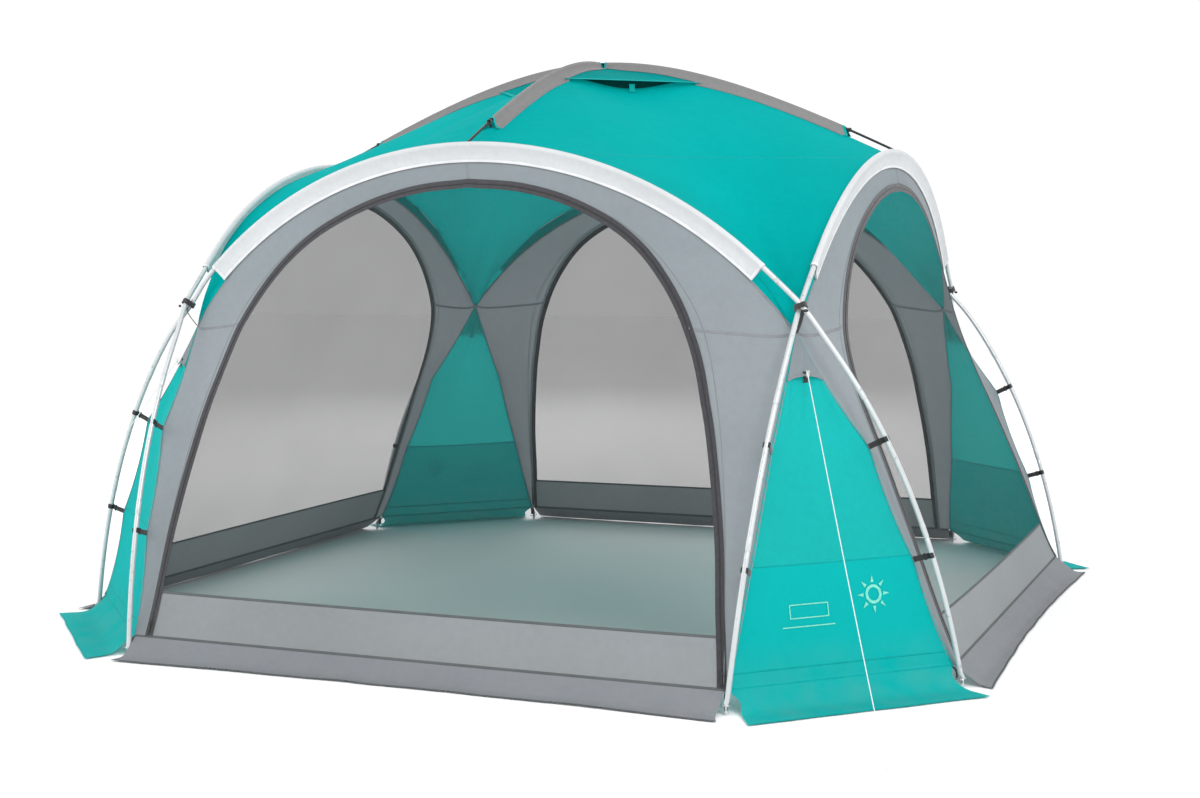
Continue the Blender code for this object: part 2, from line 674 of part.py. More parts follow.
# ---- the whole shelter --------------------------------------------------------------------------
def clear_scene():
    for obj in list(bpy.data.objects):
        bpy.data.objects.remove(obj, do_unlink=True)


def main():
    clear_scene()
    looks = palette()
    for side, name in enumerate(SIDES):
        make_arch(side, name, looks)
        make_arch_sleeve(side, name, looks)
        make_roof_sleeve(side, name, looks)
        make_band(side, name, looks)
        make_screen(side, name, looks)
        if name in ("front", "back"):
            make_door_foot(side, name, looks)
            make_zip_slider(side, f"zip_slider_{name}_left", -1, looks)
            make_zip_slider(side, f"zip_slider_{name}_right", 1, looks)
        else:
            make_wall_foot(side, name, looks)
    for side, name in enumerate(CORNERS):
        make_corner(side, name, looks)
        make_pole_tie(side, name, looks)
    make_roof_pole("roof_pole_side_to_side", 0, ROOF_WEAVE, looks)
    make_roof_pole("roof_pole_front_to_back", 1, -ROOF_WEAVE, looks)
    make_roof(looks)
    for name, route in GUYLINES.items():
        make_guyline(name, route, looks)


main()
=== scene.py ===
"""Looks of the screen house: cloth, seams, zips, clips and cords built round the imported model.

The shelter is alike on all four sides, so a piece is described for the front (-Y) side and turned.
Metres, +Z up.
"""
import json
import math

import bpy
import numpy as np
from mathutils import Matrix, Vector, noise
from mathutils.bvhtree import BVHTree

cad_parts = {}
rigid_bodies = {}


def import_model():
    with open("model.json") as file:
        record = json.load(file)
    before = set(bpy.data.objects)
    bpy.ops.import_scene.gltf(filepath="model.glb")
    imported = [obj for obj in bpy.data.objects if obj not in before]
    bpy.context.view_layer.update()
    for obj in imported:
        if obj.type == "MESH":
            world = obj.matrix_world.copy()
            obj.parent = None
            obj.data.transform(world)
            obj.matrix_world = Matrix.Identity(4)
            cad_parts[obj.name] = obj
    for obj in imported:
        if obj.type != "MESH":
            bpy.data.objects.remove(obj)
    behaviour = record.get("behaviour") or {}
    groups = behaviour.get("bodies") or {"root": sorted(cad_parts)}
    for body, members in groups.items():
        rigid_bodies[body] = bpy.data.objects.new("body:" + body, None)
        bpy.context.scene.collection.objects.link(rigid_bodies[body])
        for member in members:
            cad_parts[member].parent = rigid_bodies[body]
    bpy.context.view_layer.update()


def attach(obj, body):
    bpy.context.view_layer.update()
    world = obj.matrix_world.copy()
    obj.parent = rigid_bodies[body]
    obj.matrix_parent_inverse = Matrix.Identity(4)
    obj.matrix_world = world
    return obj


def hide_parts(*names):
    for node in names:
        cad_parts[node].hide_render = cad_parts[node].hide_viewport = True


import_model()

# ---- the frame's own sizes ----------------------------------------------------------------------
FOOT_OUT, FOOT_SIDE, ARCH_LEAN = 1.830, 1.185, 0.066
ARCH_TOP, ARCH_HALF, CROWN_HALF = 1.9044, 2.892, 0.960
CROWN_BEND, FOOT_BEND, CROWN_SPLIT = 0.6064, 0.2576, 1.315
POLE_R, WEAVE, WEAVE_REACH = 0.0095, 0.0104, 0.10
ROOF_TOP, ROOF_FALL, ROOF_ROUND = 2.315, 0.58, 0.87
ROOF_POLE_R, ROOF_POLE_END, ROOF_WEAVE = 0.005, 1.292, 0.0055
SLEEVE_START, SLEEVE_END = 0.020, 1.095
SEAM_OUT, SEAM_Z, SILL_Z = 1.803, 0.072, 0.232
WALL_STEP, WALL_SPAN, WALL_ROUNDS, WALL_FINE = 0.03, 1.29, 3000, 4
CORNER = (1.247, -1.247, 1.221)
SEAM_FOOT = (1.180, -1.795, SEAM_Z)
CANOPY_DROP, BAND_DROP, ARCH_SLEEVE_HALF = 0.020, 0.064, 1.255
ROOF_FULLNESS, VENT_HOLE, VENT_CAP = 0.0042, 0.18, 0.50
CLIP_PLACES, CLIP_STRAP, SEAM_HOLLOW = (1.99, 2.42), 0.068, 0.010
SLIDER_Z = 0.110
POCKET_Z, LOW_SEAM_Z, OFF_GROUND = 0.455, 0.125, 0.0012
THREAD, BRAID, WAVE_SCALE, SHARP_ANGLE = 0.0017, 0.0022, 0.314159, math.radians(50)
ZIP_OUTLINE = [(1.138, 0.059), (1.117, 0.292), (1.098, 0.510), (1.064, 0.739), (1.018, 0.969),
               (0.940, 1.213), (0.811, 1.418), (0.649, 1.571), (0.433, 1.683), (0.216, 1.743),
               (0.0, 1.763)]
ZIP_DRIFT = ((0.06, 0.026), (0.30, 0.008), (0.52, -0.003), (0.75, -0.017), (0.98, -0.034),
             (1.22, -0.040), (1.42, -0.026), (1.57, -0.010), (1.70, 0.005), (1.763, 0.014))
GUYLINES = {
    "guyline_front_right": [(1.309, -1.309, 1.080), (1.440, -1.556, 0.803),
                            (1.570, -1.801, 0.529), (1.700, -2.045, 0.262),
                            (1.830, -2.290, 0.004)],
    "guyline_front_left": [(-1.309, -1.309, 1.080), (-1.427, -1.497, 0.803),
                           (-1.545, -1.685, 0.529), (-1.663, -1.873, 0.262),
                           (-1.780, -2.060, 0.004)],
}
GUY_R = 0.0015
SIDES = ("front", "right", "back", "left")
CORNERS = ("front_right", "back_right", "back_left", "front_left")
DOORS = ("front", "back")
SHELL = "shelter"


# ---- points and grids ---------------------------------------------------------------------------
def turned(points, side):
    """Turn points of the front side to another side, a quarter turn for each step."""
    p = np.array(points, float)
    for _ in range(side):
        p = np.stack([-p[..., 1], p[..., 0], p[..., 2]], axis=-1)
    return p


def mirrored(points):
    """Swap the two sides of the front right corner."""
    p = np.array(points, float)
    return np.stack([-p[..., 1], -p[..., 0], p[..., 2]], axis=-1)


def ease(value):
    value = np.clip(value, 0.0, 1.0)
    return value * value * (3 - 2 * value)


def unit(vectors):
    v = np.array(vectors, float)
    return v / np.maximum(np.linalg.norm(v, axis=-1, keepdims=True), 1e-12)


def lengths(line):
    line = np.array(line, float)
    return np.concatenate([[0], np.cumsum(np.linalg.norm(np.diff(line, axis=0), axis=1))])


def resampled(points, count):
    """Evenly spaced points along a polyline."""
    line = np.array(points, float)
    along = lengths(line)
    wanted = np.linspace(0, along[-1], count)
    return np.stack([np.interp(wanted, along, line[:, k]) for k in range(line.shape[1])], axis=1)


def spline_at(knots, places):
    """Catmull-Rom curve through evenly numbered knots, at fractional places."""
    knots = np.array(knots, float)
    padded = np.concatenate([[2 * knots[0] - knots[1]], knots, [2 * knots[-1] - knots[-2]]])
    index = np.clip(np.floor(places).astype(int), 0, len(knots) - 2)
    t = (places - index).reshape((-1,) + (1,) * (knots.ndim - 1))
    a, b, c, d = (padded[index + k] for k in range(4))
    return 0.5 * (2 * b + (c - a) * t + (2 * a - 5 * b + 4 * c - d) * t ** 2
                  + (3 * b - a - 3 * c + d) * t ** 3)


def smooth_curve(points, count):
    fine = spline_at(points, np.linspace(0, len(points) - 1, 12 * (len(points) - 1) + 1))
    return resampled(fine, count)


def refined(grid, rows, columns):
    """The same surface with more points."""
    grid = np.array(grid, float)
    tall = spline_at(grid, np.linspace(0, grid.shape[0] - 1, rows))
    wide = spline_at(np.swapaxes(tall, 0, 1), np.linspace(0, grid.shape[1] - 1, columns))
    return np.swapaxes(wide, 0, 1)


def relaxed(grid, free=None, rounds=400, fullness=0.0):
    """Pull a grid tight between its fixed border; fullness crowns it upwards."""
    grid = np.array(grid, float)
    inner = np.ones_like(grid[1:-1, 1:-1]) if free is None else free[1:-1, 1:-1]
    for _ in range(rounds):
        mean = (grid[:-2, 1:-1] + grid[2:, 1:-1] + grid[1:-1, :-2] + grid[1:-1, 2:]) / 4
        grid[1:-1, 1:-1] += inner * (mean - grid[1:-1, 1:-1]) + (0, 0, fullness)
    return grid


def ruled(edge_a, edge_b, rows):
    a, b = np.array(edge_a, float), np.array(edge_b, float)
    return np.array([a + (b - a) * t for t in np.linspace(0, 1, rows)])


def grid_normals(grid):
    """Unit normals of a grid, pointing away from the middle of the shelter."""
    down, across = np.gradient(grid, axis=0), np.gradient(grid, axis=1)
    normal = unit(np.cross(across, down))
    outward = grid - np.array((0.0, 0.0, 0.3))
    flip = np.sign((normal * outward).sum(axis=-1, keepdims=True))
    return normal * np.where(flip == 0, 1, flip)


def metres(grid):
    """Distance across and down a grid, for weave and stitches."""
    across = np.linalg.norm(np.diff(grid, axis=1), axis=2).mean(axis=0)
    down = np.linalg.norm(np.diff(grid, axis=0), axis=2).mean(axis=1)
    u = np.concatenate([[0], np.cumsum(across)])
    v = np.concatenate([[0], np.cumsum(down)])
    return np.stack(np.meshgrid(u, v), axis=-1)


def noise_field(grid, size, seed, stretch=(1.0, 1.0)):
    """Smooth noise over a grid from -1 to 1; size in metres, stretch across and down."""
    uv = metres(grid) / size / np.array(stretch)
    field = np.zeros(grid.shape[:2])
    for j in range(grid.shape[0]):
        for i in range(grid.shape[1]):
            u, v = uv[j, i]
            field[j, i] = noise.noise((u + seed * 7.3, v + seed * 3.1, seed * 1.7))
    return field


def edge_fade(grid, rows=0.12, columns=0.06, open_rows=(False, False)):
    """One inside a grid and zero on its sewn edges."""
    r = np.linspace(0, 1, grid.shape[0])[:, None]
    c = np.linspace(0, 1, grid.shape[1])[None, :]
    low = 1.0 if open_rows[0] else ease(r / rows)
    high = 1.0 if open_rows[1] else ease((1 - r) / rows)
    return low * high * ease(c / columns) * ease((1 - c) / columns)


def pushed(grid, amount):
    """Move a grid's points out along its normals."""
    return grid + grid_normals(grid) * np.array(amount)[..., None]


# ---- making objects -----------------------------------------------------------------------------
def link(name, mesh, look, body=SHELL, replaces=()):
    """One visible piece with its look, riding on a body."""
    obj = bpy.data.objects.new(name, mesh)
    bpy.context.scene.collection.objects.link(obj)
    mesh.materials.append(LOOKS[look])
    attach(obj, body)
    if replaces:
        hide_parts(*replaces)
    return obj


def mesh_of(name, verts, faces, coords, creased=True):
    """Smooth mesh with its cut in metres as UV map; creased keeps its sharp edges."""
    mesh = bpy.data.meshes.new(name)
    mesh.from_pydata(verts, [], faces)
    layer = mesh.uv_layers.new(name="metres")
    layer.data.foreach_set("uv", np.array(coords, np.float32).ravel())
    mesh.shade_smooth()
    if creased:
        mesh.set_sharp_from_angle(angle=SHARP_ANGLE)
    return mesh


def grid_mesh(name, grids, uvs=None):
    """One mesh from grids of points; points that coincide are shared."""
    verts, faces, coords, seen = [], [], [], {}
    for number, grid in enumerate(grids):
        grid = np.array(grid, float)
        uv = metres(grid) if uvs is None else uvs[number]
        index = np.zeros(grid.shape[:2], int)
        for j in range(grid.shape[0]):
            for i in range(grid.shape[1]):
                key = tuple(np.round(grid[j, i], 5))
                if key not in seen:
                    seen[key] = len(verts)
                    verts.append(tuple(grid[j, i]))
                index[j, i] = seen[key]
        for j in range(grid.shape[0] - 1):
            for i in range(grid.shape[1] - 1):
                ring = [(j, i), (j, i + 1), (j + 1, i + 1), (j + 1, i)]
                face = [index[k] for k in ring]
                if len(set(face)) < 4:
                    ring = [k for n, k in enumerate(ring) if face[n] not in face[:n]]
                    face = [index[k] for k in ring]
                if len(face) > 2:
                    faces.append(face)
                    coords.extend(uv[k] for k in ring)
    return mesh_of(name, verts, faces, coords, creased=False)


def grid_area(grid):
    a, b, c, d = grid[:-1, :-1], grid[:-1, 1:], grid[1:, 1:], grid[1:, :-1]
    first = np.linalg.norm(np.cross(b - a, c - a), axis=-1)
    second = np.linalg.norm(np.cross(c - a, d - a), axis=-1)
    return float((first + second).sum() / 2)


def declare_sheet(grids):
    """Work out a sheet's cut size and area from its grids; nothing is done with them."""
    wide = max(lengths(row)[-1] for grid in grids for row in grid)
    tall = max(lengths(grid[:, i])[-1] for grid in grids for i in range(grid.shape[1]))
    area = sum(grid_area(grid) for grid in grids)
    if len(grids) > 1:
        wide = tall = 1.02 * max(wide, math.sqrt(area))
    area = min(area, wide * tall)


def cloth(name, grids, look, replaces, body=SHELL, uvs=None):
    """One fabric piece from its grids."""
    obj = link(name, grid_mesh(name, grids, uvs), look, body, replaces)
    declare_sheet(grids)
    return obj


def frames_along(path, up=None):
    """Side and up vectors along a path, without twist or with a given up."""
    tangent = unit(np.gradient(path, axis=0))
    if up is not None:
        up = np.broadcast_to(np.array(up, float), path.shape)
        side = unit(np.cross(tangent, up))
        return side, unit(np.cross(side, tangent))
    first = np.cross(tangent[0], (0.0, 0.0, 1.0))
    if np.linalg.norm(first) < 1e-3:
        first = np.array((1.0, 0.0, 0.0))
    sides = [unit(first)]
    for t in tangent[1:]:
        sides.append(unit(sides[-1] - t * (sides[-1] @ t)))
    side = np.array(sides)
    return side, np.cross(side, tangent)


def swept(name, path, profile, up=None, scale=None, closed=False):
    """Mesh of a closed profile (across, up) carried along a path, with flat ends unless closed."""
    path = np.array(path, float)
    profile = np.array(profile, float)
    side, above = frames_along(path, up)
    scale = np.ones(len(path)) if scale is None else np.array(scale, float)
    offsets = side[:, None] * profile[None, :, :1] + above[:, None] * profile[None, :, 1:]
    rings = path[:, None] + offsets * scale[:, None, None]
    count, points = len(path), len(profile)
    faces, coords = [], []
    along = lengths(path)
    round_profile = lengths([*profile, profile[0]])
    last = count if closed else count - 1
    for j in range(last):
        k = (j + 1) % count
        for i in range(points):
            n = (i + 1) % points
            faces.append((j * points + i, j * points + n, k * points + n, k * points + i))
            v = (along[j], along[j] if k == 0 and closed else along[k])
            coords += [(v[0], round_profile[i]), (v[0], round_profile[i + 1]),
                       (v[1], round_profile[i + 1]), (v[1], round_profile[i])]
    if not closed:
        faces.append(tuple(range(points))[::-1])
        faces.append(tuple((count - 1) * points + i for i in range(points)))
        coords += [(0, 0)] * (2 * points)
    return mesh_of(name, rings.reshape(-1, 3).tolist(), faces, coords)


def angles(count):
    """Evenly spaced angles round a full turn."""
    return np.linspace(0, 2 * math.pi, count, endpoint=False)


def circle(radius, sides=16, squash=1.0):
    turn = angles(sides)
    return np.stack([radius * np.cos(turn), squash * radius * np.sin(turn)], axis=1)


def add_swept(name, path, profile, look, slot, body=SHELL, replaces=(), **shape):
    """One visible piece swept along a path."""
    return link(name, swept(name, path, profile, **shape), look, body, replaces)


def strap_profile(width, thick):
    """Flat strap with rounded edges, centred."""
    w, t = width / 2, thick / 2
    return [(-w, 0), (-w + t, -t), (-w / 3, -t), (w / 3, -t), (w - t, -t), (w, 0),
            (w - t, t), (w / 3, t), (-w / 3, t), (-w + t, t)]


def joined(name, meshes):
    """One mesh of several with the same look."""
    verts, faces, coords = [], [], []
    for mesh in meshes:
        start = len(verts)
        verts += [tuple(v.co) for v in mesh.vertices]
        faces += [tuple(start + i for i in p.vertices) for p in mesh.polygons]
        uv = mesh.uv_layers["metres"].data
        coords += [tuple(uv[i].uv) for p in mesh.polygons for i in p.loop_indices]
        bpy.data.meshes.remove(mesh)
    return mesh_of(name, verts, faces, coords)


# ---- looks --------------------------------------------------------------------------------------
def srgb(red, green, blue):
    """Linear colour of an 8-bit screen colour."""
    made = []
    for value in (red, green, blue):
        v = value / 255
        made.append(v / 12.92 if v <= 0.04045 else ((v + 0.055) / 1.055) ** 2.4)
    return tuple(made)


class Look:
    """A material under construction: its nodes, and short ways to add more."""

    def __init__(self, name, color, roughness=0.7, **sockets):
        self.material = bpy.data.materials.new(name)
        self.material.use_nodes = True
        self.tree = self.material.node_tree
        self.shader = self.tree.nodes["Principled BSDF"]
        self.color = color
        self.shader.inputs["Base Color"].default_value = (*color, 1.0)
        self.shader.inputs["Roughness"].default_value = roughness
        for key, value in sockets.items():
            self.shader.inputs[key.replace("_", " ")].default_value = value

    def add(self, kind, **values):
        node = self.tree.nodes.new("ShaderNode" + kind)
        for key, value in values.items():
            if hasattr(node, key):
                setattr(node, key, value)
            else:
                node.inputs[key.replace("_", " ")].default_value = value
        return node

    def link(self, source, target):
        self.tree.links.new(source, target)

    def math(self, operation, first, second=None):
        node = self.add("Math", operation=operation)
        for slot, value in zip(node.inputs, (first, second)):
            if isinstance(value, (int, float)):
                slot.default_value = value
            elif value is not None:
                self.link(value, slot)
        return node.outputs[0]

    def place(self):
        return self.add("TexCoord").outputs["Object"]

    def metres(self):
        return self.add("UVMap", uv_map="metres").outputs["UV"]

    def noise(self, scale, detail=3.0, low=0.0, high=1.0, vector=None):
        """Noise mapped to a range."""
        made = self.add("TexNoise", Scale=scale, Detail=detail)
        self.link(vector or self.place(), made.inputs["Vector"])
        spread = self.add("MapRange", From_Min=0.3, From_Max=0.7, To_Min=low, To_Max=high)
        self.link(made.outputs["Fac"], spread.inputs["Value"])
        return spread.outputs[0]

    def wave(self, period, direction):
        """Threads side by side, a period apart in metres, across (X) or along (Y) the cut."""
        made = self.add("TexWave", bands_direction=direction, Scale=WAVE_SCALE / period)
        self.link(self.metres(), made.inputs["Vector"])
        return made.outputs["Fac"]

    def shade(self, factor, color=None):
        """Colour multiplied by a factor."""
        mix = self.add("Mix", data_type="RGBA", blend_type="MULTIPLY")
        mix.inputs[0].default_value = 1.0
        if color is None:
            mix.inputs[6].default_value = (*self.color, 1.0)
        else:
            self.link(color, mix.inputs[6])
        gray = self.add("CombineColor")
        for slot in gray.inputs[:3]:
            self.link(factor, slot)
        self.link(gray.outputs[0], mix.inputs[7])
        return mix.outputs[2]

    def toward(self, color, other, factor):
        """Colour mixed towards another, by a factor."""
        mix = self.add("Mix", data_type="RGBA")
        self.link(factor, mix.inputs[0])
        self.link(color, mix.inputs[6])
        mix.inputs[7].default_value = (*other, 1.0)
        return mix.outputs[2]

    def bumps(self, *layers):
        """Heights with their size in metres and strength, one on the other."""
        last = None
        for height, size, strength in layers:
            bump = self.add("Bump", Distance=size, Strength=strength)
            self.link(height, bump.inputs["Height"])
            if last is not None:
                self.link(last, bump.inputs["Normal"])
            last = bump.outputs[0]
        self.link(last, self.shader.inputs["Normal"])
        return last

    def height_step(self, low, high):
        """One below the height low, zero above high."""
        split = self.add("SeparateXYZ")
        self.link(self.place(), split.inputs[0])
        step = self.add("MapRange", From_Min=low, From_Max=high, To_Min=1.0, To_Max=0.0)
        self.link(split.outputs[2], step.inputs["Value"])
        return step.outputs[0]


def fabric(name, color, glow=0.3, roughness=0.72, thread=THREAD, crease=0.5, soil=0.35,
           deep=None, deep_z=0.0, deep_glow=0.0, sheen=0.05, gloss=0.25):
    """Woven tent cloth: threads, soft creases, uneven dye, dust near the ground, light through it.

    A deep colour marks the doubled cloth below the height deep_z; the step to it from the lighter
    colour above is painted light, standing for more light shining through the single layer above.
    """
    look = Look(name, color, roughness, Sheen_Weight=sheen, Sheen_Roughness=0.4,
                Specular_IOR_Level=gloss)
    warp, weft = look.wave(thread, "X"), look.wave(thread, "Y")
    weave = look.math("MAXIMUM", warp, weft)
    dye = look.math("MULTIPLY", look.noise(1.3, 3.0, 0.93, 1.06),
                    look.noise(38.0, 2.0, 0.975, 1.02))
    threads = look.math("ADD", look.math("MULTIPLY", weave, 0.10), 0.92)
    tone = look.shade(look.math("MULTIPLY", dye, threads))
    # Painted light: below deep_z the colour steps down to the deep colour, standing for the light
    # that the doubled cloth keeps out.
    if deep is not None:
        low = look.math("MULTIPLY", look.height_step(deep_z - 0.001, deep_z), 0.85)
        tone = look.toward(tone, deep, low)
    dust = look.math("MULTIPLY", look.height_step(0.0, 0.22), look.noise(9.0, 4.0, 0.0, soil))
    tone = look.toward(tone, srgb(150, 144, 132), dust)
    look.link(tone, look.shader.inputs["Base Color"])
    fold = look.noise(7.0, 2.0)
    fine = look.noise(46.0, 3.0)
    normal = look.bumps((fold, 0.012, 0.35 * crease), (fine, 0.0025, 0.35 * crease),
                        (weave, 0.0003, 0.5))
    if glow:
        through = look.add("BsdfTranslucent")
        look.link(tone, through.inputs["Color"])
        look.link(normal, through.inputs["Normal"])
        mix = look.add("MixShader")
        mix.inputs[0].default_value = glow
        if deep is not None:
            share = look.add("MapRange", To_Min=glow, To_Max=deep_glow)
            look.link(look.height_step(deep_z - 0.001, deep_z), share.inputs["Value"])
            look.link(share.outputs[0], mix.inputs[0])
        look.link(look.shader.outputs[0], mix.inputs[1])
        look.link(through.outputs[0], mix.inputs[2])
        look.link(mix.outputs[0], look.tree.nodes["Material Output"].inputs["Surface"])
    return look.material


def netting(name, color, closed, hole=0.0021):
    """Insect netting: knitted threads with holes between them, finer than the eye can follow."""
    look = Look(name, color, 0.85, Specular_IOR_Level=0.2)
    knit = look.math("MAXIMUM", look.wave(hole, "X"), look.wave(hole, "Y"))
    threads = look.math("ADD", look.math("MULTIPLY", knit, 0.3), 0.8)
    tone = look.math("MULTIPLY", look.noise(1.6, 3.0, 0.90, 1.08), threads)
    look.link(look.shade(tone), look.shader.inputs["Base Color"])
    cover = look.math("ADD", look.math("MULTIPLY", knit, 0.24), closed - 0.15)
    cover = look.math("MULTIPLY", cover, look.noise(2.2, 3.0, 0.96, 1.04))
    look.link(cover, look.shader.inputs["Alpha"])
    look.bumps((knit, 0.0004, 0.5))
    return look.material


def webbing(name, color, rib=0.0022):
    """Woven strap with ribs across it and slightly furred, worn edges."""
    look = Look(name, color, 0.8, Sheen_Weight=0.3, Sheen_Roughness=0.5)
    rows = look.wave(rib, "X")
    tone = look.math("MULTIPLY", look.math("ADD", look.math("MULTIPLY", rows, 0.5), 0.75),
                     look.noise(60.0, 3.0, 0.8, 1.25))
    look.link(look.shade(tone), look.shader.inputs["Base Color"])
    look.bumps((rows, 0.0006, 0.7), (look.noise(240.0), 0.0004, 0.3))
    return look.material


def stitched(name, color, thread, width=0.012, stitch=0.0042):
    """Folded seam or hem with two rows of stitches along it."""
    look = Look(name, color, 0.8, Specular_IOR_Level=0.15)
    split = look.add("SeparateXYZ")
    look.link(look.metres(), split.inputs[0])
    across = split.outputs[1]
    rows = None
    for place in (width * 0.25, width * 0.75):
        row = look.add("Math", operation="COMPARE")
        look.link(across, row.inputs[0])
        row.inputs[1].default_value = place
        row.inputs[2].default_value = 0.0006
        rows = row.outputs[0] if rows is None else look.math("MAXIMUM", rows, row.outputs[0])
    dash = look.math("GREATER_THAN", look.wave(stitch, "X"), 0.3)
    dashes = look.math("MULTIPLY", rows, dash)
    cloth_tone = look.shade(look.noise(18.0, 3.0, 0.90, 1.06))
    look.link(look.toward(cloth_tone, thread, dashes), look.shader.inputs["Base Color"])
    look.bumps((look.noise(70.0, 2.0), 0.0015, 0.5), (look.wave(stitch, "X"), 0.0006, 0.35),
               (dashes, 0.0006, 0.8))
    return look.material


def metal(name, color, roughness, metallic, worn):
    """Painted or bare tube, with fine rubbed marks along it and darker scuffs."""
    look = Look(name, color, roughness, Metallic=metallic)
    scuff = look.noise(55.0, 5.0)
    tone = look.shade(look.noise(4.0, 2.0, 0.94, 1.04))
    mask = look.add("MapRange", From_Min=0.82, From_Max=1.0, To_Min=0.0, To_Max=0.5)
    look.link(scuff, mask.inputs["Value"])
    look.link(look.toward(tone, worn, mask.outputs[0]), look.shader.inputs["Base Color"])
    look.link(look.noise(30.0, 4.0, roughness * 0.8, roughness * 1.25),
              look.shader.inputs["Roughness"])
    look.bumps((scuff, 0.0002, 0.15))
    return look.material


def plastic(name, color, roughness=0.45):
    """Moulded plastic with a fine texture."""
    look = Look(name, color, roughness)
    look.link(look.shade(look.noise(30.0, 3.0, 0.85, 1.2)), look.shader.inputs["Base Color"])
    look.link(look.noise(80.0, 3.0, roughness * 0.8, roughness * 1.3),
              look.shader.inputs["Roughness"])
    look.bumps((look.noise(700.0, 2.0), 0.0001, 0.5), (look.noise(14.0), 0.0006, 0.2))
    return look.material


def cord_look(name, color):
    """Braided cord: slanted strands round it."""
    look = Look(name, color, 0.7, Sheen_Weight=0.3)
    braid = look.add("TexWave", bands_direction="DIAGONAL", Scale=WAVE_SCALE / BRAID)
    look.link(look.metres(), braid.inputs["Vector"])
    look.link(look.shade(look.math("ADD", look.math("MULTIPLY", braid.outputs["Fac"], 0.25), 0.8)),
              look.shader.inputs["Base Color"])
    look.bumps((braid.outputs["Fac"], 0.0004, 0.8))
    return look.material


def printed(name, color):
    """Ink printed on cloth, thin where the threads rub it."""
    look = Look(name, color, 0.65)
    look.link(look.shade(look.noise(120.0, 3.0, 0.85, 1.1)), look.shader.inputs["Base Color"])
    look.bumps((look.wave(THREAD, "X"), 0.0002, 0.5))
    return look.material


# The corners' lighter teal is painted glow of light shining through the single cloth; below the
# pocket seam it steps to the deeper teal of the doubled cloth.
TEAL, TEAL_PAINTED_GLOW, TEAL_DEEP = srgb(0, 171, 169), srgb(30, 184, 180), srgb(0, 168, 166)
LOOKS = {
    "teal": fabric("teal_canopy", TEAL, glow=0.44, roughness=0.9, sheen=0.0, gloss=0.05),
    "corner": fabric("teal_corner", TEAL_PAINTED_GLOW, glow=0.42, roughness=0.88, sheen=0.0, gloss=0.08,
                     deep=TEAL_DEEP, deep_z=POCKET_Z, deep_glow=0.16, soil=0.12),
    "grey": fabric("grey_band", srgb(148, 153, 158), glow=0.34, soil=0.15),
    "white": fabric("white_sleeve", srgb(214, 217, 219), glow=0.15, soil=0.1, crease=0.8),
    "sill": fabric("grey_sill", srgb(142, 146, 149), glow=0.16, soil=0.12),
    "skirt": fabric("grey_skirt", srgb(126, 130, 136), glow=0.08, soil=0.15, crease=0.9),
    "taupe": fabric("roof_sleeve_cloth", srgb(134, 132, 132), glow=0.10, crease=1.2, soil=0.0),
    "net": netting("wall_netting", srgb(38, 38, 38), 0.42),
    # Vent netting: real black netting, made darker and denser as painted shade of the hollow under
    # the vent cap.
    "vent_net_and_painted_shade": netting("vent_mesh_and_painted_shade", srgb(18, 34, 34), 0.86),
    "steel": metal("pole_enamel", srgb(198, 202, 204), 0.34, 0.35, srgb(120, 120, 118)),
    "black_pole": metal("roof_pole_lacquer", srgb(42, 42, 44), 0.35, 0.2, srgb(100, 98, 95)),
    "bright": metal("bright_steel", srgb(200, 202, 205), 0.22, 0.95, srgb(120, 118, 112)),
    "strap": webbing("black_strap", srgb(34, 34, 36)),
    "zip": webbing("zip_tape", srgb(52, 52, 57), 0.0012),
    "coil": webbing("zip_coil", srgb(30, 30, 33), 0.0028),
    "clip": plastic("black_clip", srgb(30, 30, 32)),
    "cord": cord_look("white_cord", srgb(232, 234, 234)),
    "seam_grey": stitched("grey_seam", srgb(128, 132, 136), srgb(112, 116, 120)),
    "seam_teal": stitched("teal_seam", srgb(0, 156, 154), srgb(0, 140, 140)),
    "seam_white": stitched("white_seam", srgb(216, 218, 220), srgb(185, 188, 190)),
    "seam_dark": stitched("dark_binding", srgb(92, 96, 98), srgb(60, 62, 64)),
    "ink": printed("pale_print", srgb(112, 205, 186)),
}


# ---- camera, light and floor --------------------------------------------------------------------
YAW, PITCH, ROLL = math.radians(22.58), math.radians(-4.79), math.radians(-0.36)
EYE, LENS = (3.0111, -7.2743, 1.5167), 53.6


def make_camera():
    ahead = Vector((-math.sin(YAW) * math.cos(PITCH), math.cos(YAW) * math.cos(PITCH),
                    math.sin(PITCH)))
    right = Vector((math.cos(YAW), math.sin(YAW), 0.0))
    up = right.cross(ahead)
    tilted_right = right * math.cos(ROLL) + up * math.sin(ROLL)
    tilted_up = up * math.cos(ROLL) - right * math.sin(ROLL)
    data = bpy.data.cameras.new("camera")
    data.lens, data.sensor_width = LENS, 36.0
    camera = bpy.data.objects.new("camera", data)
    bpy.context.scene.collection.objects.link(camera)
    turn = Matrix((tilted_right, tilted_up, -ahead)).transposed().to_4x4()
    camera.matrix_world = Matrix.Translation(EYE) @ turn
    bpy.context.scene.camera = camera


def make_light(name, place, target, size, power):
    data = bpy.data.lights.new(name, "AREA")
    data.shape, data.size, data.energy = "DISK", size, power
    lamp = bpy.data.objects.new(name, data)
    lamp.visible_camera = False
    bpy.context.scene.collection.objects.link(lamp)
    aim = Vector(target) - Vector(place)
    turn = aim.to_track_quat("-Z", "Y").to_matrix().to_4x4()
    lamp.matrix_world = Matrix.Translation(place) @ turn


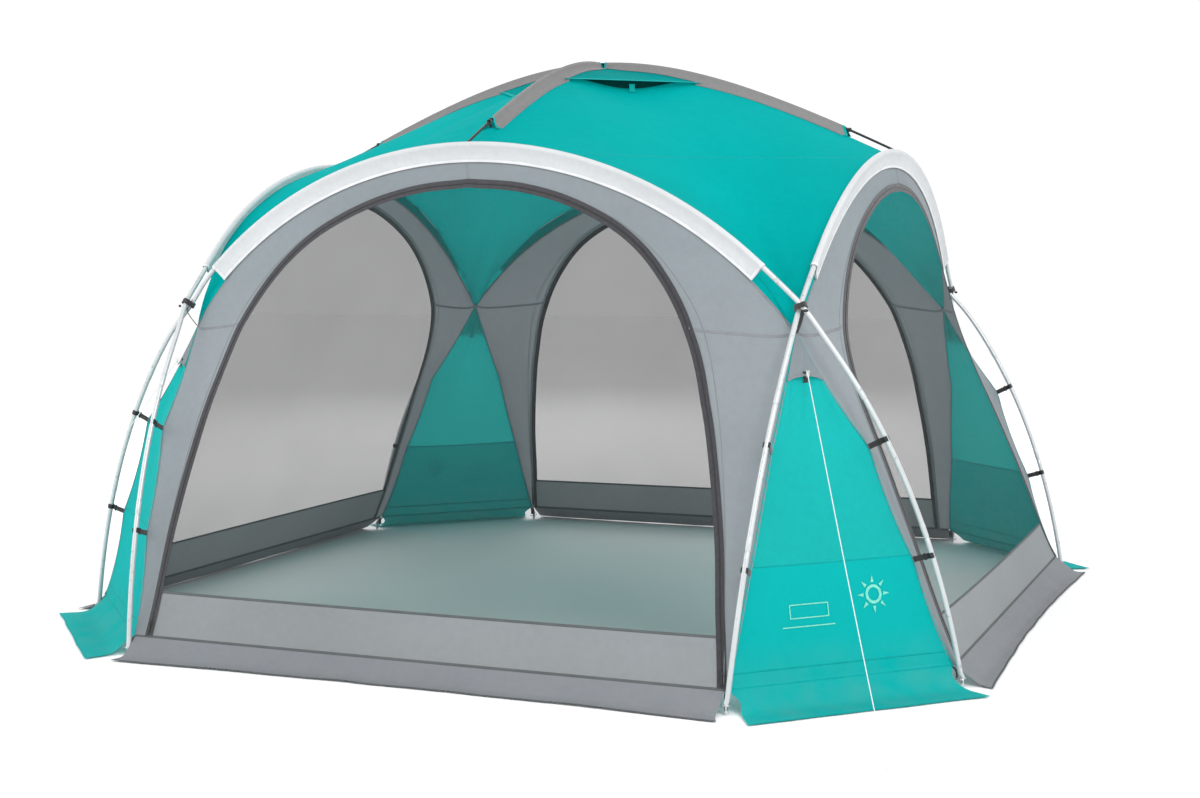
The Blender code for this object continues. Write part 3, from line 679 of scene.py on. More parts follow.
def make_studio():
    world = bpy.data.worlds.new("studio")
    world.use_nodes = True
    background = world.node_tree.nodes["Background"]
    background.inputs["Color"].default_value = (1.0, 1.0, 1.0, 1.0)
    background.inputs["Strength"].default_value = 1.05
    bpy.context.scene.world = world
    bpy.context.scene.view_settings.view_transform = "Standard"
    make_light("key", (6.5, -6.5, 7.0), (0, 0, 0.8), 5.0, 420)
    make_light("fill", (-7.0, -5.0, 4.0), (0, 0, 0.8), 5.0, 160)
    make_light("back", (-3.0, 8.0, 6.0), (0, 0, 1.0), 6.0, 260)
    make_light("inside", (0, 0, 0.2), (0, 0.01, 2.3), 2.2, 20)
    floor = grid_mesh("studio_floor", [ruled([(-30, -30, -0.001), (30, -30, -0.001)],
                                             [(-30, 30, -0.001), (30, 30, -0.001)], 2)])
    look = Look("studio_floor", (0.96, 0.96, 0.96), 0.9)
    look.link(look.shade(look.noise(0.6, 2.0, 0.985, 1.01)), look.shader.inputs["Base Color"])
    floor.materials.append(look.material)
    ground = bpy.data.objects.new("studio_floor", floor)
    bpy.context.scene.collection.objects.link(ground)


# ---- guylines -----------------------------------------------------------------------------------
def make_guyline(name, route):
    """Braided cord from the tab under the corner cap to its knot on the ground."""
    path = smooth_curve(route, 60)
    knot_path = [path[-1] + np.array((0.006 * math.cos(t), 0.006 * math.sin(t), 0.003 + 0.0008 * t))
                 for t in np.linspace(0, 3.4 * math.pi, 40)]
    thin = circle(GUY_R, 8)
    knot = add_swept(f"{name}_knot", knot_path, thin, "cord", "guyline_cord")
    loop = [np.array(route[0])
            + (0.004 * math.cos(t), 0.004 * math.sin(t), 0.012 * math.sin(2 * t) + 0.003)
            for t in angles(28)]
    top = add_swept(f"{name}_top_knot", loop, thin, "cord", "guyline_cord", closed=True)
    cord = add_swept(f"{name}_cord", path, circle(GUY_R, 10), "cord", "guyline_cord",
                     replaces=[name])


# ---- poles --------------------------------------------------------------------------------------
def arch_table(step=0.001):
    """Centre line of half an arch in its own plane: length, across, height, angle."""
    length = np.arange(0, ARCH_HALF + step, step)
    past = np.maximum(length - CROWN_HALF, 0)
    fade = (FOOT_BEND - CROWN_BEND) / (ARCH_HALF - CROWN_HALF)
    angle = CROWN_BEND * length + fade * past ** 2 / 2
    across = np.concatenate([[0], np.cumsum(np.cos(angle[:-1]) * step)])
    height = ARCH_TOP - np.concatenate([[0], np.cumsum(np.sin(angle[:-1]) * step)])
    return length, across, height, angle


ARCH = arch_table()
CROSSING = float(ARCH[0][np.argmin(np.abs(ARCH[1] - FOOT_SIDE - ARCH_LEAN * ARCH[2]))])


def arch_points(along, drop=0.0, inset=0.0):
    """Points on the front arch at signed lengths from its top; drop moves them inwards."""
    length, across, height, angle = ARCH
    along, drop, inset = np.broadcast_arrays(np.array(along, float), drop, inset)
    s, side = np.abs(along), np.where(along < 0, -1.0, 1.0)
    tilt = np.interp(s, length, angle)
    x = side * (np.interp(s, length, across) - drop * np.sin(tilt))
    z = np.interp(s, length, height) - drop * np.cos(tilt)
    return np.stack([x, -(FOOT_SIDE + ARCH_LEAN * z) + inset, z], axis=-1)


def pole_points(along):
    """Centre of the pole: outside the next arch on its right, inside on its left."""
    along = np.array(along, float)
    side = np.where(along < 0, -1.0, 1.0)[:, None]
    outward = np.concatenate([0.622 * side, np.full_like(side, -0.622),
                              np.full_like(side, 0.477)], axis=1)
    fade = np.exp(-((np.abs(along) - CROSSING) / WEAVE_REACH) ** 2)[:, None]
    return arch_points(along) + outward * WEAVE * fade * side


POLE_JOINTS = (0.27, 0.79, CROWN_SPLIT, 1.84, 2.36)
SOCKET = ((-0.052, 1.0), (-0.050, 1.07), (-0.006, 1.07), (-0.004, 1.0), (-0.002, 0.86),
          (0.0, 0.86), (0.002, 1.0))


def joint_scale(stations, joints):
    """Radius along a pole: a rolled socket, then a dark gap, at each joint between sections."""
    scale = np.ones(len(stations))
    for joint in joints:
        near = (stations > joint - 0.06) & (stations < joint + 0.01)
        x, y = zip(*SOCKET)
        scale[near] = np.interp(stations[near] - joint, x, y)
    return scale


def with_joints(stations, joints):
    """Stations with extra ones at each joint's socket."""
    extra = [j + offset for j in joints for offset, _ in SOCKET]
    kept = [s for s in np.concatenate([stations, extra]) if stations[0] <= s <= stations[-1]]
    return np.array(sorted({round(float(s), 5) for s in kept}))


def make_arch_poles(side, name):
    stations = with_joints(np.linspace(-CROWN_SPLIT, CROWN_SPLIT, 91),
                           [s * j for j in POLE_JOINTS[:2] for s in (-1, 1)])
    add_swept(f"{name}_crown_pole", turned(pole_points(stations), side), circle(POLE_R), "steel",
              "pole_steel", replaces=[f"{name}_arch_crown"],
              scale=joint_scale(np.abs(stations), POLE_JOINTS[:2]))
    for end, label in ((-1, "left"), (1, "right")):
        s = with_joints(np.linspace(CROWN_SPLIT, ARCH_HALF - 0.05, 61), POLE_JOINTS[2:])
        foot = np.array((end * FOOT_OUT, -FOOT_SIDE, 0.0))
        shaft = pole_points(end * s)
        toe = np.array([foot + (0, 0, h) for h in (0.030, 0.028, 0.012, 0.010, 0.001)])
        scale = np.concatenate([joint_scale(s, POLE_JOINTS[2:]), (1.0, 0.62, 0.62, 0.80, 0.55)])
        path = turned(np.concatenate([shaft, toe]), side)
        add_swept(f"{name}_{label}_leg_pole", path, circle(POLE_R), "steel", "pole_steel",
                  replaces=[f"{name}_arch_leg_{label}"], scale=scale)


def roof_height(distance):
    """Height of a roof pole's centre line at a distance from the middle."""
    return ROOF_TOP - ROOF_FALL * (np.hypot(distance, ROOF_ROUND) - ROOF_ROUND)


def make_roof_pole(name, side, lift):
    joints = (-0.95, -0.48, 0.48, 0.95)
    d = with_joints(ROOF_POLE_END * np.linspace(-1, 1, 121), joints)
    rise = lift * np.exp(-(d / 0.05) ** 2)
    path = np.stack([d, np.zeros_like(d), roof_height(d) + rise], axis=1)
    scale = 1 + 0.8 * (joint_scale(np.abs(d), joints[2:]) - 1)
    add_swept(f"{name}_rod", turned(path, side), circle(ROOF_POLE_R, 12), "black_pole",
              "roof_pole_black", replaces=[name], scale=scale)


# ---- seams --------------------------------------------------------------------------------------
def seam(path, normals, width=0.012, thick=0.0016, lift=0.0):
    """Folded, stitched strip on a cloth, along a path with the cloth's normals."""
    path, normals = np.array(path, float), unit(normals)
    return swept("seam", path + normals * lift, strap_profile(width, thick), up=normals)


def line_seam(grid, normals, line, side, *sizes):
    """Seam along one line of a grid of the front side, turned to another side."""
    return seam(turned(grid[line], side), turned(normals[line], side), *sizes)


def add_joined(name, meshes, look, body=SHELL, replaces=()):
    """One visible piece made of several meshes."""
    return link(name, joined(name, meshes), look, body, replaces)


# ---- arch sleeves -------------------------------------------------------------------------------
def sleeve_profile():
    """Half round over the pole, then two layers down: (drop, outwards) pairs."""
    over = [(-0.0122 * math.cos(t), 0.0122 * math.sin(t))
            for t in np.linspace(-0.72, 0.72, 11) * math.pi]
    tail = [(0.022, 0.0052), (0.032, 0.0026), (0.045, 0.0018), (0.063, 0.0016)]
    return [(d, -o) for d, o in reversed(tail)] + over + tail


def make_arch_sleeve(side, name):
    profile = sleeve_profile()
    stations = np.linspace(-ARCH_SLEEVE_HALF, ARCH_SLEEVE_HALF, 241)
    grid = np.array([arch_points(stations, drop, -outward) for drop, outward in profile])
    across = np.abs(np.linspace(-1, 1, len(profile)))[:, None]
    s = stations[None, :]
    pucker = np.sin(s * 210 + 2 * np.sin(s * 31)) * (0.5 + 0.5 * np.sin(s * 17 + side))
    soft = np.sin(s * 47 + side + 3 * across) * 0.5
    end = ease((np.abs(s) - 1.18) / 0.07)
    amount = ((0.0007 * pucker + 0.0011 * soft) * ease(across * 1.4)
              + 0.0016 * end * np.sin(s * 300 + across * 9))
    out = np.array((0.0, -1.0, 0.0)) * np.sign(np.linspace(-1, 1, len(profile)))[:, None, None]
    grid = grid + out * amount[..., None]
    cloth(f"{name}_arch_sleeve", [turned(grid, side)], "white",
          [f"arch_sleeve_{name}"])
    normal = turned((0.0, -1.0, -ARCH_LEAN), side)
    hems = [seam(turned(arch_points(stations, 0.0585, -0.0026), side), normal, 0.010, 0.0014)]
    for end_sign in (-1, 1):
        s_end = end_sign * (ARCH_SLEEVE_HALF - 0.007)
        ring = np.array([arch_points(np.array([s_end]), d, -o * 1.07)[0] for d, o in profile])
        centre = arch_points(np.array([s_end]), 0.03)[0]
        hems.append(seam(turned(ring, side), turned(ring - centre, side), 0.012, 0.0012))
    add_joined(f"{name}_arch_sleeve_hems", hems, "seam_white")


# ---- the walls ----------------------------------------------------------------------------------
def side_seam(count):
    """Seam between the front wall and the front right corner panel, from the fabric corner down."""
    leg = [mirrored(arch_points(np.array([s]), CLIP_STRAP)[0]) for s in CLIP_PLACES]
    knots = [np.array(CORNER), *leg, np.array(SEAM_FOOT)]
    line = []
    inward = np.array((-0.25, 1.0, -0.35)) / 1.089
    for a, b in zip(knots, knots[1:]):
        for t in np.linspace(0, 1, 12, endpoint=False):
            line.append(a + (b - a) * t + inward * (SEAM_HOLLOW * 4 * t * (1 - t)))
    return resampled([*line, knots[-1]], count)


def band_edge(stations):
    """Upper edge of a band along its arch, drawn down to the fabric corner."""
    point = arch_points(stations, BAND_DROP, 0.003)
    return point + (np.array(CORNER) - point) * ease((stations - 1.15) / (CROSSING - 1.15))[:, None]


def wall_rim(over, down):
    """Right half of a wall's rim, from the top of its arch over the fabric corner to its foot."""
    return np.concatenate([band_edge(np.linspace(0, CROSSING, over + 1)), side_seam(down + 1)[1:]])


def wall_table():
    """Depth of a wall over a square grid of (x, z): taut cloth pulled tight from its rim."""
    rim = wall_rim(60, 60)[::-1]
    x = np.arange(-WALL_SPAN, WALL_SPAN + WALL_STEP / 2, WALL_STEP)
    z = np.arange(SEAM_Z, rim[-1, 2] + WALL_STEP, WALL_STEP)
    half = np.interp(z, rim[:, 2], rim[:, 0])
    inside = (np.abs(x)[None, :] < half[:, None])[1:-1, 1:-1]
    depth = np.repeat(np.interp(z, rim[:, 2], rim[:, 1])[:, None], len(x), axis=1)
    depth[0] = -SEAM_OUT
    for _ in range(WALL_ROUNDS):
        mean = (depth[:-2, 1:-1] + depth[2:, 1:-1] + depth[1:-1, :-2] + depth[1:-1, 2:]) / 4
        depth[1:-1, 1:-1] += inside * (mean - depth[1:-1, 1:-1])
    rows, columns = (WALL_FINE * (len(axis) - 1) + 1 for axis in (z, x))
    return refined(depth[..., None], rows, columns)[..., 0]


WALL = wall_table()


def wall_depth(x, z):
    """Depth of the front wall, read between the four nearest places of the table."""
    step = WALL_STEP / WALL_FINE
    across = np.clip((x + WALL_SPAN) / step, 0.0, WALL.shape[1] - 1.001)
    up = np.clip((z - SEAM_Z) / step, 0.0, WALL.shape[0] - 1.001)
    i, j = across.astype(int), up.astype(int)
    u, v = across - i, up - j
    low = WALL[j, i] * (1 - u) + WALL[j, i + 1] * u
    high = WALL[j + 1, i] * (1 - u) + WALL[j + 1, i + 1] * u
    return low * (1 - v) + high * v


def wall_points(x, z):
    x, z = np.broadcast_arrays(np.array(x, float), np.array(z, float))
    return np.stack([x, wall_depth(x, z), z], axis=-1)


def wall_out(points):
    """Outward normals of the front wall at points on it."""
    x, z, reach = points[..., 0], points[..., 2], 0.012
    across = (wall_depth(x + reach, z) - wall_depth(x - reach, z)) / (2 * reach)
    up = (wall_depth(x, z + reach) - wall_depth(x, z - reach)) / (2 * reach)
    return unit(np.stack([across, -np.ones_like(x), up], axis=-1))


def drift(z):
    """The taut cloth carries the opening a little to the wall's right or left."""
    heights, shifts = zip(*ZIP_DRIFT)
    return np.interp(z, heights, shifts)


def zip_line(shift, low, count):
    """Right half of a zip line moved outwards by shift, from the height low to the top."""
    line = smooth_curve(ZIP_OUTLINE, 240)
    step = np.gradient(line, axis=0)
    line = line + shift * unit(np.stack([step[:, 1], -step[:, 0]], axis=1))
    line[-1, 0] = 0.0
    start = (np.interp(low, line[:, 1], line[:, 0]), low)
    return resampled([start, *line[line[:, 1] > low + 0.002]], count)


def wall_half(end, shift, low, count):
    line = zip_line(shift, low, count)
    return wall_points(drift(line[:, 1]) + end * line[:, 0], line[:, 1])


def wall_line(shift, low, count):
    """The whole zip line on the front wall, from its left foot over the top to its right foot."""
    left, right = (wall_half(end, shift, low, count) for end in (-1, 1))
    return np.concatenate([left, right[-2::-1]])


UPPER, LOWER, BAND_ROWS = 56, 44, 15
TAPE_WIDE, TAPE_RIM = (0.0079, 0.0018), (0.0150, 0.0026, 0.003, 0.0010)
PANEL_GAP, CUT_RISE = 0.012, 0.004


def half_band(end):
    inner = wall_half(end, 0.004, SEAM_Z, 260)[::-1]
    level = int(np.argmin(np.abs(inner[:, 2] - (CORNER[2] + 0.02))))
    inner = np.concatenate([resampled(inner[:level + 1], UPPER + 1),
                            resampled(inner[level:], LOWER + 1)[1:]])
    grid = ruled(wall_rim(UPPER, LOWER) * (end, 1.0, 1.0), inner, BAND_ROWS)
    grid[1:-1] = wall_points(grid[1:-1, :, 0], grid[1:-1, :, 2])
    return grid


def make_band(side, name):
    left, right = half_band(-1), half_band(1)
    right[:, 0] = left[:, 0] = (left[:, 0] + right[:, 0]) / 2
    grid = relaxed(np.concatenate([left[:, :0:-1], right], axis=1), rounds=12)
    corner_left, apex, corner_right = LOWER, LOWER + UPPER, LOWER + 2 * UPPER
    c = np.arange(grid.shape[1])[None, :]
    across = np.linspace(0, 1, BAND_ROWS)[:, None]
    from_zip = np.linalg.norm(grid - grid[-1], axis=-1)
    fade = ease(across / 0.2) * ease((from_zip - 0.016) / 0.06)
    amount = 0.0045 * noise_field(grid, 0.30, side + 1, (1.0, 2.2)) * fade
    amount += 0.0016 * noise_field(grid, 0.07, side + 9, (0.6, 2.0)) * fade
    for corner in (corner_left, corner_right):
        near = np.exp(-((c - corner) / 5.0) ** 2)
        amount += 0.0016 * near * np.sin(across * 46 + c * 0.2) * ease(across / 0.1)
    grid = pushed(grid, amount)
    cloth(f"{name}_wall_band", [turned(grid, side)], "grey",
          [f"arch_band_{name}"])
    normals = grid_normals(grid)
    strips = [line_seam(grid, normals, np.s_[:, column], side, 0.011, 0.0022)
              for column in (corner_left, apex, corner_right)]
    strips.append(line_seam(grid, normals, np.s_[0, 1:-1], side, 0.009, 0.0026))
    strips.append(line_seam(grid, normals, -3, side, 0.0035, 0.0012, 0.0006))
    add_joined(f"{name}_band_seams", strips, "seam_grey")


def tape(end, low, side, shift, lift, width=0.0145, thick=0.0012):
    """Zip tape outside (1) or inside (-1) of the zip line."""
    path = wall_line(end * shift, low, 120)
    normals = wall_out(path)
    return swept("tape", turned(path + normals * lift, side), strap_profile(width, thick),
                 up=turned(normals, side))


def make_zip(side, name, body):
    """Zip round a wall: the outer tape stays, the inner tape and the coil go with the wall."""
    for end, label, low, rider in ((1, "outer", SEAM_Z, SHELL),
                                   (-1, "inner", SEAM_Z + CUT_RISE, body)):
        tapes = [tape(end, low, side, *sizes) for sizes in (TAPE_WIDE, TAPE_RIM)]
        add_joined(f"{name}_zip_{label}_tape", tapes, "zip", rider)
    path = wall_line(-0.0002, SEAM_Z + CUT_RISE, 150)
    add_swept(f"{name}_zip_coil", turned(path + wall_out(path) * 0.0030, side),
              circle(0.0024, 8, 0.8), "coil", "black_plastic", body)


def wall_grid(shift, low, rows, columns, top=None):
    """Grid between the two sides of a zip line, from the height low to the top."""
    line = zip_line(shift, low, rows)
    if top is not None:
        levels = np.linspace(low, top, rows)
        line = np.stack([np.interp(levels, line[:, 1], line[:, 0]), levels], axis=1)
    t = np.linspace(-1, 1, columns)
    return np.array([wall_points(drift(z) + half * t, z) for half, z in line])


def make_screen(side, name, body):
    grid = wall_grid(-PANEL_GAP, SILL_Z, 64, 49)
    belly = edge_fade(grid, 0.5, 0.5) ** 0.5
    amount = belly * (0.004 + 0.0012 * noise_field(grid, 0.5, side + 3))
    grid = grid - wall_out(grid) * amount[..., None]
    uv = np.stack([grid[..., 0], grid[..., 2]], axis=-1)
    cloth(f"{name}_netting", [turned(grid, side)], "net", [f"screen_{name}"],
          body=body, uvs=[uv])


def make_sill(side, name, body, replaced):
    rows = wall_grid(-PANEL_GAP, SEAM_Z + 0.003, 12, 97, SILL_Z)
    wave = edge_fade(rows, 0.3, 0.05)
    amount = wave * (0.003 + 0.004 * noise_field(rows, 0.22, side + 5, (1.6, 1.0)))
    grid = rows - wall_out(rows) * amount[..., None]
    cloth(f"{name}_sill", [turned(grid, side)], "sill", replaced, body=body)
    normals = wall_out(grid)
    bindings = [line_seam(grid, normals, row, side, width, 0.0022)
                for row, width in ((-1, 0.010), (0, 0.008))]
    add_joined(f"{name}_sill_bindings", bindings, "seam_dark", body)


def skirt_grid(seed, rows=15, columns=141):
    """Ground skirt from the bottom seam out over the ground, its free edge a little wavy."""
    levels = ((SEAM_Z - 0.001, 0.0, 1.172), (0.034, 0.034, 1.170), (0.008, 0.062, 1.170),
              (0.0035, 0.095, 1.186))
    t = np.linspace(-1, 1, columns)
    coarse = []
    for z, out, half in levels:
        flare = 0.035 * t * t * out / 0.095
        y = -SEAM_OUT - 0.001 - out - flare
        coarse.append(np.stack([half * t, y, np.full_like(t, z)], axis=1))
    grid = refined(coarse, rows, columns)
    free = np.linspace(0, 1, rows)[:, None]
    field = noise_field(grid, 0.16, seed, (1.0, 3.0))
    fine = noise_field(grid, 0.045, seed + 2, (1.0, 4.0))
    middle = np.sin(free * math.pi)
    grid[..., 2] += (0.007 * ease(free) * (0.5 + 0.5 * field) * np.sin(free * 2.6)
                     + 0.002 * fine * middle)
    grid[..., 1] += 0.006 * field * free ** 2 + 0.0045 * fine * middle
    grid[..., 2] = np.maximum(grid[..., 2], OFF_GROUND)
    return grid


def make_skirt(side, name, replaced):
    grid = skirt_grid(side + 21)
    cloth(f"{name}_skirt", [turned(grid, side)], "skirt", replaced)
    hem = line_seam(grid, grid_normals(grid), -1, side, 0.008, 0.0018)
    facing = turned(wall_out(grid[0, grid.shape[1] // 2]), side)
    join = seam(turned(grid[0] + (0, 0.0005, 0.001), side), facing, 0.010, 0.003)
    add_joined(f"{name}_skirt_hems", [hem, join], "seam_dark")


def make_zip_slider(side, name, label, end):
    """Slider body round the coil, its bail and a hanging pull."""
    low, high = (wall_half(end, 0.0, SLIDER_Z + rise, 2)[0] for rise in (0.0, 0.03))
    run, facing = unit(high - low), wall_out(low)
    out = unit(facing - run * (facing @ run))

    def strip(points, profile, level, scale=None):
        path = [low + run * v + out * (level + w) for v, w in points]
        return swept("slider", turned(path, side), profile, up=turned(out, side), scale=scale)

    shell = [(v, 0) for v in (0.0, 0.002, 0.008, 0.014, 0.019, 0.020)]
    bail = ((0.015, 0.0), (0.014, 0.003), (0.009, 0.0042), (0.004, 0.003), (0.003, 0.0))
    pull = ((0.006, 0.0012), (0.002, 0.0010), (-0.008, 0.0), (-0.020, -0.001), (-0.028, -0.001))
    parts = [strip(shell, strap_profile(0.013, 0.0052), 0.0082, (0.6, 0.9, 0.8, 1.0, 0.8, 0.5)),
             strip(bail, strap_profile(0.003, 0.0012), 0.0112),
             strip(pull, strap_profile(0.0075, 0.0016), 0.0110, (0.6, 0.75, 0.85, 1.0, 0.7))]
    full = f"{name}_zip_{label}"
    add_joined(f"{full}_slider", parts, "clip", full,
               [f"zip_slider_{name}_{label}"])


# ---- the corners --------------------------------------------------------------------------------
SEAM_LINE = side_seam(400)
SEAM_LENGTHS = lengths(SEAM_LINE)
OUT_CORNER = np.array((1.0, -1.0, 0.0)) / math.sqrt(2)
ALONG_CORNER = np.array((1.0, 1.0, 0.0)) / math.sqrt(2)
LEG_FEET = np.array(((FOOT_SIDE, -FOOT_OUT, 0.0), (FOOT_OUT, -FOOT_SIDE, 0.0)))
PANEL_ROWS, PANEL_COLUMNS = 72, 33
MIDDLE = PANEL_COLUMNS - 1


def corner_grid(first, last, rows, columns):
    """Grid between the two side seams of a corner, from first to last metre along the seam."""
    wanted = np.linspace(first, last, rows)
    near = np.stack([np.interp(wanted, SEAM_LENGTHS, SEAM_LINE[:, k]) for k in range(3)], axis=1)
    return np.swapaxes(ruled(near, mirrored(near), columns), 0, 1)


def corner_panel_grid(seed):
    coarse = relaxed(corner_grid(0.012, SEAM_LENGTHS[-1], 25, 13), rounds=200)
    panel = refined(coarse, PANEL_ROWS, PANEL_COLUMNS)
    t = np.linspace(0, 1, PANEL_COLUMNS)[None, :]
    v = np.linspace(0, 1, PANEL_ROWS)[:, None]
    fade = ease(t / 0.12) * ease((1 - t) / 0.12) * ease((1 - v) / 0.1)
    fan = np.sin((t - 0.5) * 15 * (1.1 - v) + 1.3) * np.exp(-((v - 0.22) / 0.16) ** 2)
    pull = np.sin((t - 0.5) * 26 + v * 6) * np.exp(-((v - 0.12) / 0.07) ** 2)
    amount = (0.0055 * fan + 0.0025 * pull + 0.006 * noise_field(panel, 0.34, seed)
              + 0.0012 * noise_field(panel, 0.08, seed + 4))
    return pushed(panel, amount * fade)


def corner_skirt_grid(panel, seed):
    """Teal ground skirt in front of a corner panel, spreading over the ground."""
    near, far = LEG_FEET
    rows = [panel[-1]]
    t = np.linspace(0, 1, PANEL_COLUMNS)[:, None]
    for z, out, trim in ((0.040, 0.010, 0.050), (0.006, 0.060, 0.030), (0.0035, 0.156, 0.0)):
        line = near + (far - near) * (trim + (1 - 2 * trim) * t) + OUT_CORNER * out
        line[:, 2] = z
        rows.append(line)
    grid = refined(rows, 19, 2 * PANEL_COLUMNS - 1)
    free = np.linspace(0, 1, 19)[:, None]
    field = noise_field(grid, 0.15, seed + 6, (1.0, 3.0))
    grid[..., 2] += 0.008 * ease(free) * (0.5 + 0.5 * field) * np.sin(free * 2.8)
    grid = grid + OUT_CORNER * (0.006 * field * free ** 2)[..., None]
    grid[..., 2] = np.maximum(grid[..., 2], OFF_GROUND)
    return grid


def make_corner(side, name):
    panel = corner_panel_grid(side + 31)
    skirt = corner_skirt_grid(panel, side)
    panel = refined(panel, PANEL_ROWS, 2 * PANEL_COLUMNS - 1)
    panel[-1] = skirt[0]
    cloth(f"{name}_corner_panel", [turned(panel, side), turned(skirt, side)], "corner",
          [f"corner_panel_{name}"])
    normals = grid_normals(panel)
    strips = []
    for level, width in ((POCKET_Z, 0.006), (LOW_SEAM_Z, 0.007)):
        row = int(np.argmin(np.abs(panel[:, MIDDLE, 2] - level)))
        strips.append(line_seam(panel, normals, row, side, width, 0.0016))
    strips.append(seam(turned(skirt[0], side), turned(normals[-2], side), 0.009, 0.0022))
    strips.append(line_seam(skirt, grid_normals(skirt), -1, side, 0.008, 0.0018))
    for column in (0, -1):
        strips.append(line_seam(panel, normals, np.s_[:, column], side, 0.008, 0.0034))
    add_joined(f"{name}_corner_seams", strips, "seam_teal")
    cap = refined(relaxed(corner_grid(0.0, 0.185, 7, 9), rounds=80), 22, 33)
    t = np.linspace(-1, 1, 33)[None, :]
    v = np.linspace(0, 1, 22)[:, None]
    cap = cap + OUT_CORNER * (0.003 + 0.004 * v + 0.002 * np.sin(t * 9 + v * 4) * v)[..., None]
    cap[..., 2] += 0.016 * v ** 2 * (1 - t ** 2)
    cloth(f"{name}_corner_cap", [turned(cap, side)], "grey",
          [f"corner_cap_{name}"])
    hem = [line_seam(cap, grid_normals(cap), -1, side, 0.010, 0.0022)]
    add_joined(f"{name}_corner_cap_hem", hem, "seam_grey")
    make_guy_tab(side, name, cap[-1, 16])
    return panel, normals


def make_guy_tab(side, name, place):
    """Webbing tab under the cap that holds the guyline or, with none, hangs free."""
    base = place - OUT_CORNER * 0.001
    path = [base + (0, 0, 0.012), base, base + OUT_CORNER * 0.003 + (0, 0, -0.012),
            base + OUT_CORNER * 0.006 + (0, 0, -0.022), base + OUT_CORNER * 0.003 + (0, 0, -0.027)]
    add_swept(f"{name}_guy_tab", turned(smooth_curve(path, 40), side),
              strap_profile(0.018, 0.0022), "strap", "black_webbing", up=turned(OUT_CORNER, side))


# ---- straps and clips ---------------------------------------------------------------------------
def clip_parts(seam_point, pole_point, run):
    """Webbing from the seam to a pole and the open clip that grips it."""
    seam_point, pole_point, run = np.array(seam_point), np.array(pole_point), unit(run)
    reach = unit(pole_point - seam_point - run * ((pole_point - seam_point) @ run))
    normal = np.cross(run, reach)
    end = pole_point - reach * (POLE_R + 0.002)
    web = np.linspace(seam_point - reach * 0.006, end, 8)
    strap = swept("web", web, strap_profile(0.020, 0.0022), up=normal)
    turns = np.linspace(-2.35, 2.35, 24)
    ring_up = [-(reach * math.cos(a) + normal * math.sin(a)) for a in turns]
    ring = [pole_point + up * (POLE_R + 0.0022) for up in ring_up]
    grip = swept("grip", ring, strap_profile(0.019, 0.0032), up=ring_up)
    middle = end - reach * 0.013
    bar = swept("bar", [middle - run * 0.0125, middle + run * 0.0125], circle(0.0034, 8))
    return strap, grip, bar


def make_clips(side, name):
    """Clips on the two legs that stand in one corner."""
    straps, grips = [], []
    for s in CLIP_PLACES:
        for end, turn in ((1, side), (-1, side + 1)):
            seam_point = arch_points(np.array([end * s]), CLIP_STRAP)[0]
            pole = pole_points(end * np.array([s, s + 0.01]))
            strap, grip, bar = clip_parts(turned(seam_point, turn), turned(pole[0], turn),
                                          turned(pole[1] - pole[0], turn))
            straps.append(strap)
            grips += [grip, bar]
    add_joined(f"{name}_clip_straps", straps, "strap")
    add_joined(f"{name}_clip_grips", grips, "clip")


def make_pole_tie(side, name):
    """Webbing loop round the two crossing poles, with a tail down to the fabric corner."""
    middle = arch_points(np.array([CROSSING]))[0]
    down = unit((0.345, -0.345, -0.873))
    across = ALONG_CORNER
    out = np.cross(across, down)
    turns = angles(48)
    ring = [middle + across * 0.0226 * math.cos(a) + out * 0.0262 * math.sin(a)
            + down * 0.003 * math.sin(2 * a) for a in turns]
    ring_up = [across * math.cos(a) + out * math.sin(a) for a in turns]
    loops = [swept("tie", turned(ring, side), strap_profile(0.020, 0.002),
                   up=turned(ring_up, side), closed=True)]
    corner = np.array(CORNER)
    start = middle + OUT_CORNER * 0.012 + down * 0.010
    tail = smooth_curve([start, (start + corner) / 2 + OUT_CORNER * 0.008,
                         corner + OUT_CORNER * 0.004], 16)
    loops.append(swept("tail", turned(tail, side), strap_profile(0.016, 0.002),
                       up=turned(OUT_CORNER, side)))
    add_joined(f"{name}_pole_tie", loops, "strap",
               replaces=[f"pole_tie_{name}"])
    toggle = [middle + OUT_CORNER * 0.030 + down * 0.012 + across * w
              for w in np.linspace(-0.010, 0.010, 7)]
    add_swept(f"{name}_tie_toggle", turned(toggle, side), circle(0.0055, 12), "clip",
              "black_plastic", scale=(0.5, 0.85, 1.0, 1.0, 1.0, 0.85, 0.5))


def make_feet(side, name):
    """Strap, steel ring and pin between the wall's lower corner and the foot of each leg."""
    straps, rings = [], []
    for corner, foot in zip((np.array(SEAM_FOOT), mirrored(SEAM_FOOT)), LEG_FEET):
        away = unit((foot - corner) * (1, 1, 0))
        top = corner + (0, 0, -0.004)
        low = foot - away * 0.020 + (0, 0, 0.030)
        line = smooth_curve([top, (top + low) / 2 + away * 0.006 + (0, 0, 0.004), low], 14)
        broad = unit(np.cross(away, (0, 0, 1.0)))
        straps.append(swept("foot", turned(line, side), strap_profile(0.020, 0.0022),
                            up=turned(np.cross(broad, unit(low - top)), side)))
        loop = [foot - away * 0.006 + away * 0.018 * math.cos(a) + broad * 0.018 * math.sin(a)
                + (0, 0, 0.026 + 0.006 * math.cos(a)) for a in angles(32)]
        rings.append(swept("ring", turned(loop, side), circle(0.0020, 8), closed=True))
        peg = [foot + (0, 0, height) for height in (0.002, 0.010, 0.024, 0.027)]
        rings.append(swept("peg", turned(peg, side), circle(0.0066, 12),
                           scale=(0.8, 1.0, 1.0, 0.9)))
    add_joined(f"{name}_foot_straps", straps, "strap")
    add_joined(f"{name}_foot_rings", rings, "bright")


